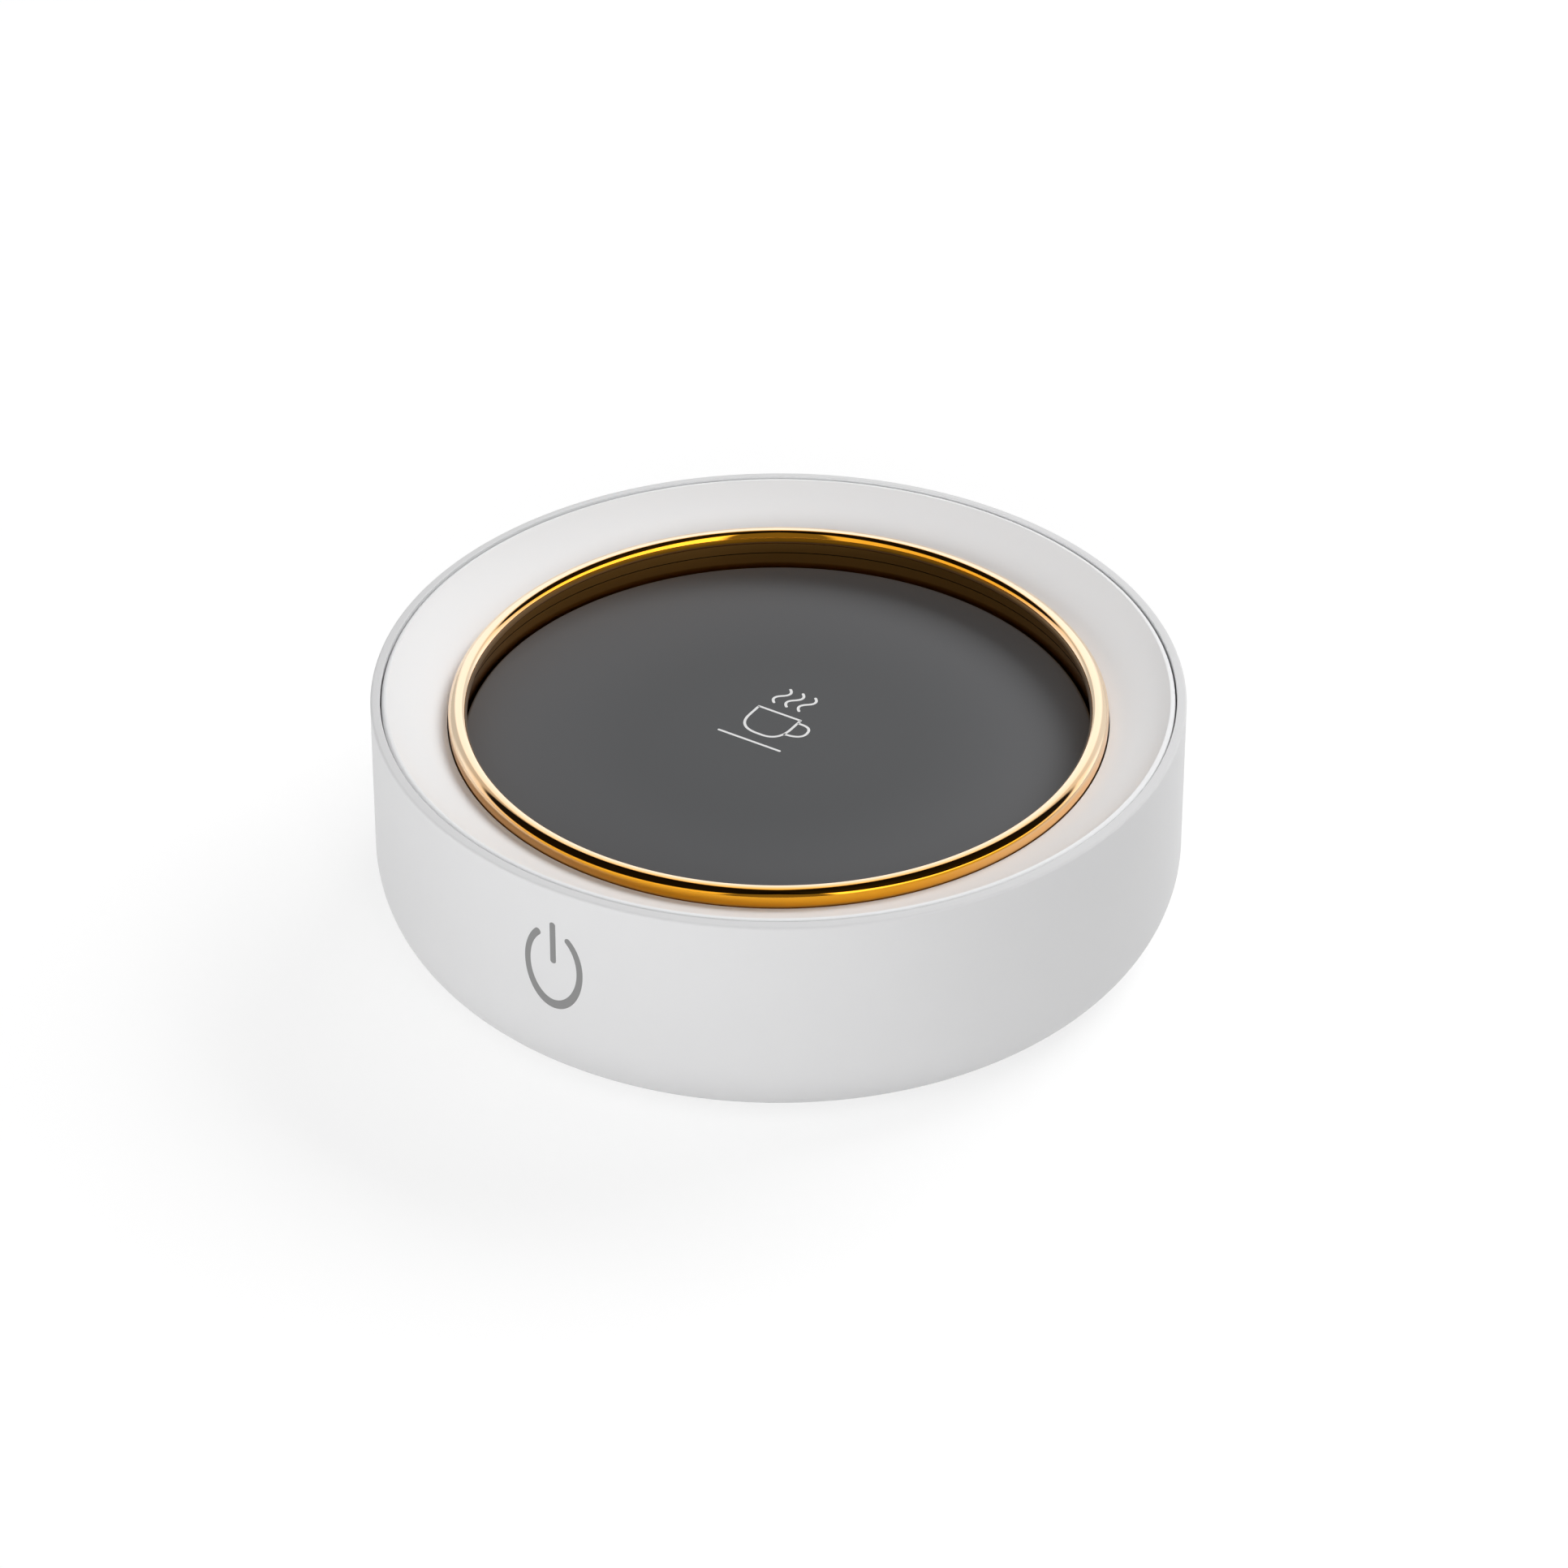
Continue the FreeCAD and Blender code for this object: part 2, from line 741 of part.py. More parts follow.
def control_board():
    half = board_half_width
    edge_radius = inner_face(board_low) - board_margin
    corner = math.sqrt(edge_radius ** 2 - half ** 2)
    stem = stem_half_width
    corners = [(-half, corner), (-half, board_step), (-stem, board_step), (-stem, stem_front),
               (stem, stem_front), (stem, board_step), (half, board_step), (half, corner)]
    points = [Vector(x, y, board_low) for x, y in corners]
    edges = [Part.LineSegment(a, b).toShape() for a, b in zip(points, points[1:])]
    edges.append(Part.Arc(points[-1], Vector(0, edge_radius, board_low), points[0]).toShape())
    board = Part.Face(Part.Wire(edges)).extrude(up * board_thickness)
    holes = [rod(board_screw + hole_play, board_low - cut_over, board_top + cut_over, x, y)
             for x, y in stem_screws + wing_screws]
    return board.cut(holes)


def board_screws():
    spots = stem_screws + wing_screws
    length = board_top - floor_top - board_screw_tip
    return Part.makeCompound([screw(board_head, board_head_height, board_screw, length, board_top, False, x, y)
                              for x, y in spots])


def controller_chip():
    return case(chip_size, chip_spot, board_top)


def power_inductor():
    core = case(inductor_size, inductor_spot, board_top)
    return core.makeFillet(inductor_corner, edges_along(core, up))


def filter_capacitors():
    cans = []
    for x, y in capacitor_spots:
        can = rod(capacitor_radius, board_top, board_top + capacitor_height, x, y)
        cans.append(can.makeChamfer(capacitor_edge, edges_at(can, board_top + capacitor_height)))
    return Part.makeCompound(cans)


def lead_headers():
    size = (header_length, header_width, header_height)
    headers = [case(size, spot, board_top) for spot in (heater_lead_spot, sensor_lead_spot)]
    ribbon_spot = (0.0, stem_front + header_inset + ribbon_header_size[1] / 2)
    return Part.makeCompound(headers + [case(ribbon_header_size, ribbon_spot, board_top)])


def lead_pair(spot, diameter, top, name):
    wires = []
    for side in (-0.5, 0.5):
        x = spot[0] + side * lead_pitch
        y = spot[1]
        rise = top - header_top
        points = [Vector(x, y, top), Vector(x, y, top - lead_straight * rise),
                  Vector(x, y - lead_slack, (top + header_top) / 2),
                  Vector(x, y, header_top + lead_straight * rise), Vector(x, y, header_top)]
        wires.append(tube(points, diameter, name))
    return Part.makeCompound(wires)


def heater_leads():
    return lead_pair(heater_lead_spot, heater_lead, pad_top, "heater lead")


def sensor_leads():
    return lead_pair(sensor_lead_spot, sensor_lead, pad_top, "sensor lead")


def inlet_jack():
    body = block(-jack_width / 2, jack_width / 2, jack_back, jack_front, board_top, board_top + jack_height)
    body = body.makeFillet(jack_edge, edges_along(body, deep_way))
    body = joined(body, [along_y(jack_nose, jack_front - sink, nose_end, jack_axis)])
    return body.cut(along_y(jack_bore, nose_end - jack_bore_depth, nose_end + cut_over, jack_axis))


def inlet_pin():
    return along_y(jack_pin, nose_end - jack_bore_depth, nose_end - pin_inset, jack_axis)


def microswitch_body():
    across = switch_length / 2
    deep = switch_width / 2
    body = block(-across, across, -deep, deep, board_top, switch_top)
    bore_low = switch_top - plunger_in_switch - plate_travel - limit_gap
    return body.cut(rod(plunger_radius + guide_play, bore_low, switch_top + cut_over))


def microswitch_plunger():
    return rod(plunger_radius, switch_top - plunger_in_switch, plunger_top)


def touch_electrode():
    outside = inner_radius - electrode_gap
    high = rim_top - electrode_drop
    low = high - electrode_height
    return sector(outside - electrode_thickness, outside, low, high, front_angle, electrode_half_angle)


def touch_ribbon():
    high = rim_top - electrode_drop - electrode_height
    wall_line = -(inner_radius - ribbon_clear)
    floor_line = floor_top + ribbon_clear
    header_line = board_top + ribbon_header_size[2] / 2
    points = [(wall_line, high), (wall_line, floor_under + corner_height - ribbon_bend_low),
              (-flat_radius - ribbon_bend_in, floor_line), (stem_front - ribbon_flat_end, floor_line),
              (stem_front - ribbon_rise_end, header_line), (stem_front + header_inset, header_line)]
    spine, radii = bent_path([Vector(0, y, z) for y, z in points])
    half_width = ribbon_width / 2
    half_thickness = ribbon_thickness / 2
    y, z = points[0]
    corners = [Vector(-half_width, y - half_thickness, z), Vector(half_width, y - half_thickness, z),
               Vector(half_width, y + half_thickness, z), Vector(-half_width, y + half_thickness, z)]
    return spine.makePipeShell([Part.makePolygon(corners + corners[:1])], True, False)


pieces = [outer_housing, top_cover, trim_ring, inner_sleeve, rubber_feet, housing_screws, support_frame,
          frame_screws, return_springs, glass_plate, plate_seal, heat_spreader, heating_element, insulation_pad,
          temperature_sensor, thermal_fuse, plate_tray, stop_washers, stop_screws, control_board, board_screws,
          controller_chip, power_inductor, filter_capacitors, lead_headers, heater_leads, sensor_leads,
          inlet_jack, inlet_pin, microswitch_body, microswitch_plunger, touch_electrode, touch_ribbon]

os.makedirs("parts", exist_ok=True)
for make in pieces:
    shape = make()
    shape.exportStep("parts/" + make.__name__ + ".step")
    volume = round(shape.Volume, 1)
    print(make.__name__, "solids", len(shape.Solids), "volume", volume, "valid", shape.isValid())
print("outer diameter", 2 * outer_radius, "height", round(rim_top, 2))
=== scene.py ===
import bpy
import json
import math
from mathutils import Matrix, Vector

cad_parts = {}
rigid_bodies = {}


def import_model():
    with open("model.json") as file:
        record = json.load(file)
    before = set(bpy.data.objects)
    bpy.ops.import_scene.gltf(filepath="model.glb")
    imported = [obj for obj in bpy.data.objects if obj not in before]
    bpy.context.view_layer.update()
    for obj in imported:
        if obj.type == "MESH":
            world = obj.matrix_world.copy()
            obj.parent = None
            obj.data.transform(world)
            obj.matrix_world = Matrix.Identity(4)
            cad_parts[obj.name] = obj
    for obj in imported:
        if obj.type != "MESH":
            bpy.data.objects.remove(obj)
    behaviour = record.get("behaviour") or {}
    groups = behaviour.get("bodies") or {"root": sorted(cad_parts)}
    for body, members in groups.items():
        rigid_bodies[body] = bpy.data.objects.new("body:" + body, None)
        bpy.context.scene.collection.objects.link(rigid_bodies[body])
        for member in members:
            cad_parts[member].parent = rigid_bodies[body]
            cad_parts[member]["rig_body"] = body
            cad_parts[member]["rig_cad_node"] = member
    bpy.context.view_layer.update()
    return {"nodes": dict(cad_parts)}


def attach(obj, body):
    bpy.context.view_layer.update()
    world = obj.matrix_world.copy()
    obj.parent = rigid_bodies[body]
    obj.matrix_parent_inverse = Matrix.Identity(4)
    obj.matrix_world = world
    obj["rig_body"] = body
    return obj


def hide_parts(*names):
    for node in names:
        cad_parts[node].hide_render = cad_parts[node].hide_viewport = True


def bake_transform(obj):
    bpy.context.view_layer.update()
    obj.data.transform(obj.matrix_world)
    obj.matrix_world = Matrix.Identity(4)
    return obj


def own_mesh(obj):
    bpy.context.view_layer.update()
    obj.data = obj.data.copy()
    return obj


# Electric mug warmer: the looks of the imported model. Metres; the dictionaries give millimetres.
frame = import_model()
mm = 0.001
fullTurn = 2 * math.pi
weldReach = 0.001 * mm   # vertices nearer than this become one
toolPast = 1.0   # a cutting tool runs this far past what it cuts
usualCuts = 6   # of a rounding that names none


def deselectAll():
    bpy.ops.object.select_all(action="DESELECT")


def activate(piece):
    deselectAll()
    piece.select_set(True)
    bpy.context.view_layer.objects.active = piece


def placePiece(piece):
    # writes place, turn and size into the mesh, so the object itself stands at the origin
    activate(piece)
    bpy.ops.object.transform_apply(location=True, rotation=True, scale=True)


def smoothPiece(piece, angle=30):
    activate(piece)
    bpy.ops.object.shade_smooth_by_angle(angle=math.radians(angle))


def roundOff(before, corner, after, first, second, cuts):
    # a quarter round that leaves one edge first away from the corner and meets the next second away
    back = (before - corner).normalized() * first
    ahead = (after - corner).normalized() * second
    turns = [math.pi / 2 * step / cuts for step in range(cuts + 1)]
    return [corner + back * (1 - math.sin(turn)) + ahead * (1 - math.cos(turn)) for turn in turns]


def drawnLine(corners):
    # corners: (across, up), or with a rounding, or with an oval one's two roundings and its cuts
    spots = [Vector((corner[0], 0, corner[1])) for corner in corners]
    line = []
    for index, corner in enumerate(corners):
        if len(corner) == 2:
            line.append(spots[index])
            continue
        first = corner[2]
        second = corner[3] if len(corner) > 3 else first
        cuts = corner[4] if len(corner) > 4 else usualCuts
        before = spots[index - 1]
        after = spots[(index + 1) % len(spots)]
        line += roundOff(before, spots[index], after, first, second, cuts)
    return [spot * mm for spot in line]


def wireFrom(name, line):
    # a plane shrunk to one vertex, then extruded from point to point
    deselectAll()
    bpy.ops.mesh.primitive_plane_add(size=mm)
    piece = bpy.context.object
    piece.name = name
    piece.data.name = name
    bpy.ops.object.mode_set(mode="EDIT")
    bpy.ops.mesh.merge(type="CENTER")
    bpy.ops.transform.translate(value=line[0])
    for start, end in zip(line, line[1:]):
        bpy.ops.mesh.extrude_region_move(TRANSFORM_OT_translate={"value": end - start})
    bpy.ops.object.mode_set(mode="OBJECT")
    return piece


def cleanShell(piece):
    activate(piece)
    bpy.ops.object.mode_set(mode="EDIT")
    bpy.ops.mesh.select_all(action="SELECT")
    bpy.ops.mesh.remove_doubles(threshold=weldReach)
    bpy.ops.mesh.normals_make_consistent(inside=False)
    bpy.ops.object.mode_set(mode="OBJECT")


def spunPiece(name, corners, steps, closed=False):
    # the half section is drawn in the XZ plane and spun; a closed one returns to its first corner
    line = drawnLine(corners)
    if closed:
        line.append(line[0])
    piece = wireFrom(name, line)
    bpy.ops.object.mode_set(mode="EDIT")
    bpy.ops.mesh.select_all(action="SELECT")
    bpy.ops.mesh.spin(steps=steps, angle=fullTurn, center=(0, 0, 0), axis=(0, 0, 1))
    bpy.ops.object.mode_set(mode="OBJECT")
    cleanShell(piece)
    return piece


def combine(piece, tool, way):
    activate(piece)
    change = piece.modifiers.new(way, "BOOLEAN")
    change.operation = way
    change.solver = "EXACT"
    change.object = tool
    bpy.ops.object.modifier_apply(modifier=change.name)
    bpy.data.objects.remove(tool, do_unlink=True)
    # no slivers are left where the two surfaces met
    bpy.ops.object.mode_set(mode="EDIT")
    bpy.ops.mesh.select_all(action="SELECT")
    bpy.ops.mesh.dissolve_degenerate(threshold=weldReach)
    bpy.ops.mesh.remove_doubles(threshold=weldReach)
    bpy.ops.object.mode_set(mode="OBJECT")


def copyPiece(piece, name):
    activate(piece)
    bpy.ops.object.duplicate()
    copy = bpy.context.object
    copy.name = name
    copy.data.name = name
    return copy


def turnedCopy(piece, name, degrees):
    copy = copyPiece(piece, name)
    turn = -math.radians(degrees)
    bpy.ops.transform.rotate(value=turn, orient_axis="Z", center_override=(0, 0, 0))
    placePiece(copy)
    return copy


def joinPieces(pieces, name):
    deselectAll()
    for piece in pieces:
        piece.select_set(True)
    bpy.context.view_layer.objects.active = pieces[0]
    if len(pieces) > 1:
        bpy.ops.object.join()
    joined = bpy.context.object
    joined.name = name
    joined.data.name = name
    return joined


def upright(radius, low, high, x=0.0, y=0.0, sides=64):
    deselectAll()
    middle = (x * mm, y * mm, (low + high) / 2 * mm)
    bpy.ops.mesh.primitive_cylinder_add(vertices=sides, radius=radius * mm, depth=(high - low) * mm,
                                        location=middle)
    return bpy.context.object


def onCircle(radius, degrees):
    turn = math.radians(degrees)
    return radius * math.cos(turn), radius * math.sin(turn)


pen = {"tipCuts": 5, "tipWidth": 0.02}


def inked(name, strokes, width):
    # flat pen strokes in the XY plane with round ends, each a ribbon made from a wire;
    # a third value of a point swells the stroke there
    ribbons = []
    half = width / 2 * mm
    for stroke in strokes:
        spots = [Vector((point[0], point[1], 0)) * mm for point in stroke]
        swells = [point[2] if len(point) > 2 else 1.0 for point in stroke]
        first, last = spots[0], spots[-1]
        tips = []
        for end, inner in ((first, spots[1]), (last, spots[-2])):
            inward = (inner - end).normalized() * half
            turns = [math.pi / 2 * step / pen["tipCuts"] for step in range(pen["tipCuts"])]
            tips.append([end + inward * (1 - math.cos(turn)) for turn in turns])
        inside = [spot for spot in spots if min((spot - first).length, (spot - last).length) > half]
        line = tips[0] + inside + tips[1][::-1]
        wire = wireFrom(name, line)
        bpy.ops.object.convert(target="CURVE")
        curve = wire.data
        curve.extrude = half
        for spline in curve.splines:
            for point in spline.points:
                point.tilt = math.pi / 2
                spot = Vector(point.co[:3])
                nearest = min(range(len(spots)), key=lambda index: (spots[index] - spot).length)
                reach = min((spot - first).length, (spot - last).length)
                share = max(0.0, 1 - reach / half)
                tip = max(pen["tipWidth"], math.sqrt(max(0.0, 1 - share ** 2)))
                point.radius = swells[nearest] * tip
        bpy.ops.object.convert(target="MESH")
        ribbons.append(bpy.context.object)
    return joinPieces(ribbons, name)


# the Mix node's sockets for share, first and second, and its result
mixSockets = {"RGBA": (0, 6, 7, 2), "FLOAT": (0, 2, 3, 0)}
noiseMiddle = 0.5


def addNode(tree, kind, **values):
    node = tree.nodes.new(kind)
    for label, value in values.items():
        setattr(node, label, value)
    return node


def feed(tree, socket, value):
    # a bare value is set, a socket is linked
    if isinstance(value, (int, float, tuple)):
        socket.default_value = value
    else:
        tree.links.new(value, socket)


def noiseNode(tree, scale, detail, place):
    noise = addNode(tree, "ShaderNodeTexNoise")
    for label, value in (("Scale", scale), ("Detail", detail), ("Vector", place)):
        feed(tree, noise.inputs[label], value)
    return noise.outputs["Fac"]


def mathNode(tree, way, first, second):
    node = addNode(tree, "ShaderNodeMath", operation=way)
    feed(tree, node.inputs[0], first)
    feed(tree, node.inputs[1], second)
    return node.outputs[0]


def mixNode(tree, kind, share, first, second):
    node = addNode(tree, "ShaderNodeMix", data_type=kind)
    *into, result = mixSockets[kind]
    for number, value in zip(into, (share, first, second)):
        feed(tree, node.inputs[number], value)
    return node.outputs[result]


def rangeNode(tree, value, fromMin, fromMax, toMin=0.0, toMax=1.0):
    node = addNode(tree, "ShaderNodeMapRange", interpolation_type="SMOOTHSTEP")
    for label, bound in (("From Min", fromMin), ("From Max", fromMax),
                         ("To Min", toMin), ("To Max", toMax)):
        node.inputs[label].default_value = bound
    tree.links.new(value, node.inputs["Value"])
    return node.outputs["Result"]


def mappingNode(tree, place, **values):
    node = addNode(tree, "ShaderNodeMapping")
    for label, value in values.items():
        node.inputs[label].default_value = value
    tree.links.new(place, node.inputs["Vector"])
    return node.outputs["Vector"]


def splitNode(tree, place):
    node = addNode(tree, "ShaderNodeSeparateXYZ")
    tree.links.new(place, node.inputs["Vector"])
    return node.outputs


def axisDistance(tree, place):
    # how far a point lies from the part's axis
    length = addNode(tree, "ShaderNodeVectorMath", operation="LENGTH")
    tree.links.new(mappingNode(tree, place, Scale=(1, 1, 0)), length.inputs[0])
    return length.outputs["Value"]


def swingNode(tree, noise, amount):
    # the noise about its middle, for the roughness
    return mathNode(tree, "MULTIPLY", mathNode(tree, "SUBTRACT", noise, noiseMiddle), amount)


finishInputs = [
    ("Colour", "NodeSocketColor", (0.8, 0.8, 0.8, 1)),
    ("Shade", "NodeSocketColor", (0.7, 0.7, 0.7, 1)),
    ("Roughness", "NodeSocketFloat", 0.4),
    ("Grain", "NodeSocketFloat", 3000.0)]
finishOutputs = [
    ("Colour", "NodeSocketColor"), ("Roughness", "NodeSocketFloat"), ("Height", "NodeSocketFloat")]


def startSkin(name):
    # every skin is a node group with the same inputs and outputs, on Object coordinates
    group = bpy.data.node_groups.new(name, "ShaderNodeTree")
    for label, kind, value in finishInputs:
        socket = group.interface.new_socket(name=label, in_out="INPUT", socket_type=kind)
        socket.default_value = value
    for label, kind in finishOutputs:
        group.interface.new_socket(name=label, in_out="OUTPUT", socket_type=kind)
    start = group.nodes.new("NodeGroupInput")
    end = group.nodes.new("NodeGroupOutput")
    return group, start, end, addNode(group, "ShaderNodeTexCoord").outputs["Object"]


def endSkin(group, start, end, share, first, second, swing, height):
    # share blends from the first named colour to the second, swing is added to the roughness
    given = start.outputs
    colour = mixNode(group, "RGBA", share, given[first], given[second])
    group.links.new(colour, end.inputs["Colour"])
    group.links.new(mathNode(group, "ADD", given["Roughness"], swing), end.inputs["Roughness"])
    group.links.new(height, end.inputs["Height"])
    return group


moulded = {"detail": 3.0, "cloud": 55.0, "cloudDetail": 2.0, "swing": 0.12}


def mouldedSkin():
    # spark-eroded mould grain: fine even bumps, which the roughness follows, and faint cloudy shade
    group, start, end, place = startSkin("mouldedSkin")
    grain = noiseNode(group, start.outputs["Grain"], moulded["detail"], place)
    cloud = noiseNode(group, moulded["cloud"], moulded["cloudDetail"], place)
    swing = swingNode(group, grain, moulded["swing"])
    return endSkin(group, start, end, cloud, "Colour", "Shade", swing, grain)


polished = {"stretch": (1, 1, 24), "detail": 2.0, "cloud": 90.0, "cloudDetail": 3.0, "swing": 0.05}


def polishedSkin():
    # polish haze: long faint hairlines round the part and soft patches of duller metal
    group, start, end, place = startSkin("polishedSkin")
    stretched = mappingNode(group, place, Scale=polished["stretch"])
    hair = noiseNode(group, start.outputs["Grain"], polished["detail"], stretched)
    cloud = noiseNode(group, polished["cloud"], polished["cloudDetail"], place)
    swing = swingNode(group, hair, polished["swing"])
    return endSkin(group, start, end, cloud, "Colour", "Shade", swing, hair)


fibrous = {"stretches": ((1, 9, 1), (9, 1, 1)), "detail": 4.0, "swing": 0.1}


def fibrousSkin():
    # matted fibres: stretched noise in two directions laid over each other
    group, start, end, place = startSkin("fibrousSkin")
    strands = []
    for stretch in fibrous["stretches"]:
        stretched = mappingNode(group, place, Scale=stretch)
        strands.append(noiseNode(group, start.outputs["Grain"], fibrous["detail"], stretched))
    mat = mathNode(group, "MAXIMUM", strands[0], strands[1])
    swing = mathNode(group, "MULTIPLY", mat, fibrous["swing"])
    return endSkin(group, start, end, mat, "Shade", "Colour", swing, mat)


turned = {"detail": 3.0, "scale": 1.0, "swing": 0.2}


def turnedSkin():
    # lathe marks: fine rings of uneven height round the part's axis
    group, start, end, place = startSkin("turnedSkin")
    rings = addNode(group, "ShaderNodeTexNoise", noise_dimensions="1D")
    rings.inputs["Detail"].default_value = turned["detail"]
    rings.inputs["Scale"].default_value = turned["scale"]
    spread = mathNode(group, "MULTIPLY", axisDistance(group, place), start.outputs["Grain"])
    group.links.new(spread, rings.inputs["W"])
    mark = rings.outputs["Fac"]
    swing = swingNode(group, mark, turned["swing"])
    return endSkin(group, start, end, mark, "Shade", "Colour", swing, mark)


edgeLit = {"palesFrom": 18, "palesTo": 48, "detail": 2.0, "swing": 0.06}


def edgeLitSkin():
    # glass from Colour in the middle to a paler Shade at the edge, painted light that lifts the
    # shade near the ring
    group, start, end, place = startSkin("edgeLitSkin")
    outwards = axisDistance(group, place)
    paling = rangeNode(group, outwards, edgeLit["palesFrom"] * mm, edgeLit["palesTo"] * mm)
    grain = noiseNode(group, start.outputs["Grain"], edgeLit["detail"], place)
    swing = swingNode(group, grain, edgeLit["swing"])
    return endSkin(group, start, end, paling, "Colour", "Shade", swing, grain)


etched = {"distortion": 0.0, "edgeStarts": 0.42, "edgeEnds": 0.5, "haze": 160.0, "hazeDetail": 3.0,
          "swing": 0.14}


def etchedSkin():
    # heater foil: a flat track in Shade winding through the film in Colour, with a little height
    group, start, end, place = startSkin("etchedSkin")
    wave = addNode(group, "ShaderNodeTexWave", wave_type="RINGS", rings_direction="Z")
    wave.inputs["Distortion"].default_value = etched["distortion"]
    group.links.new(place, wave.inputs["Vector"])
    group.links.new(start.outputs["Grain"], wave.inputs["Scale"])
    track = rangeNode(group, wave.outputs["Fac"], etched["edgeStarts"], etched["edgeEnds"])
    haze = noiseNode(group, etched["haze"], etched["hazeDetail"], place)
    swing = mathNode(group, "MULTIPLY", haze, etched["swing"])
    return endSkin(group, start, end, track, "Colour", "Shade", swing, track)


board = {"lays": ((0.0, 0.62), (math.pi / 2, 0.8)), "offset": 0.37, "track": 0.022, "row": 0.16,
         "breaks": 210.0, "breaksDetail": 1.0, "haze": 900.0, "hazeDetail": 2.0, "swing": 0.1}


def boardSkin():
    # solder mask in Colour over copper tracks in Shade, broken up so that they end in the open
    group, start, end, place = startSkin("boardSkin")
    tracks = []
    for turn, width in board["lays"]:
        brick = addNode(group, "ShaderNodeTexBrick", offset=board["offset"])
        for label, value in (("Mortar Size", board["track"]), ("Brick Width", width),
                             ("Row Height", board["row"]), ("Scale", start.outputs["Grain"]),
                             ("Vector", mappingNode(group, place, Rotation=(0, 0, turn)))):
            feed(group, brick.inputs[label], value)
        tracks.append(brick.outputs["Fac"])
    patches = noiseNode(group, board["breaks"], board["breaksDetail"], place)
    breaks = mathNode(group, "GREATER_THAN", patches, noiseMiddle)
    copper = mixNode(group, "FLOAT", breaks, tracks[0], tracks[1])
    haze = noiseNode(group, board["haze"], board["hazeDetail"], place)
    swing = mathNode(group, "MULTIPLY", haze, board["swing"])
    return endSkin(group, start, end, copper, "Colour", "Shade", swing, copper)


skins = {
    "moulded": mouldedSkin(), "polished": polishedSkin(), "fibrous": fibrousSkin(),
    "turned": turnedSkin(), "edgeLit": edgeLitSkin(), "etched": etchedSkin(), "board": boardSkin()}


def finishMaterial(name, skin, colour, shade, roughness, grain, depth, sockets):
    material = bpy.data.materials.new(name)
    material.use_nodes = True
    tree = material.node_tree
    shader = tree.nodes["Principled BSDF"]
    body = addNode(tree, "ShaderNodeGroup", node_tree=skins[skin])
    body.inputs["Colour"].default_value = (*colour, 1)
    body.inputs["Shade"].default_value = (*shade, 1)
    body.inputs["Roughness"].default_value = roughness
    body.inputs["Grain"].default_value = grain
    bump = addNode(tree, "ShaderNodeBump")
    bump.inputs["Distance"].default_value = depth * mm
    tree.links.new(body.outputs["Colour"], shader.inputs["Base Color"])
    tree.links.new(body.outputs["Roughness"], shader.inputs["Roughness"])
    tree.links.new(body.outputs["Height"], bump.inputs["Height"])
    tree.links.new(bump.outputs["Normal"], shader.inputs["Normal"])
    for label, value in sockets.items():
        shader.inputs[label].default_value = value
    return material


plain = {}
metal = {"Metallic": 1.0}
shellSheen = {"Specular IOR Level": 0.4}
plateSheen = {"Specular IOR Level": 0.15}
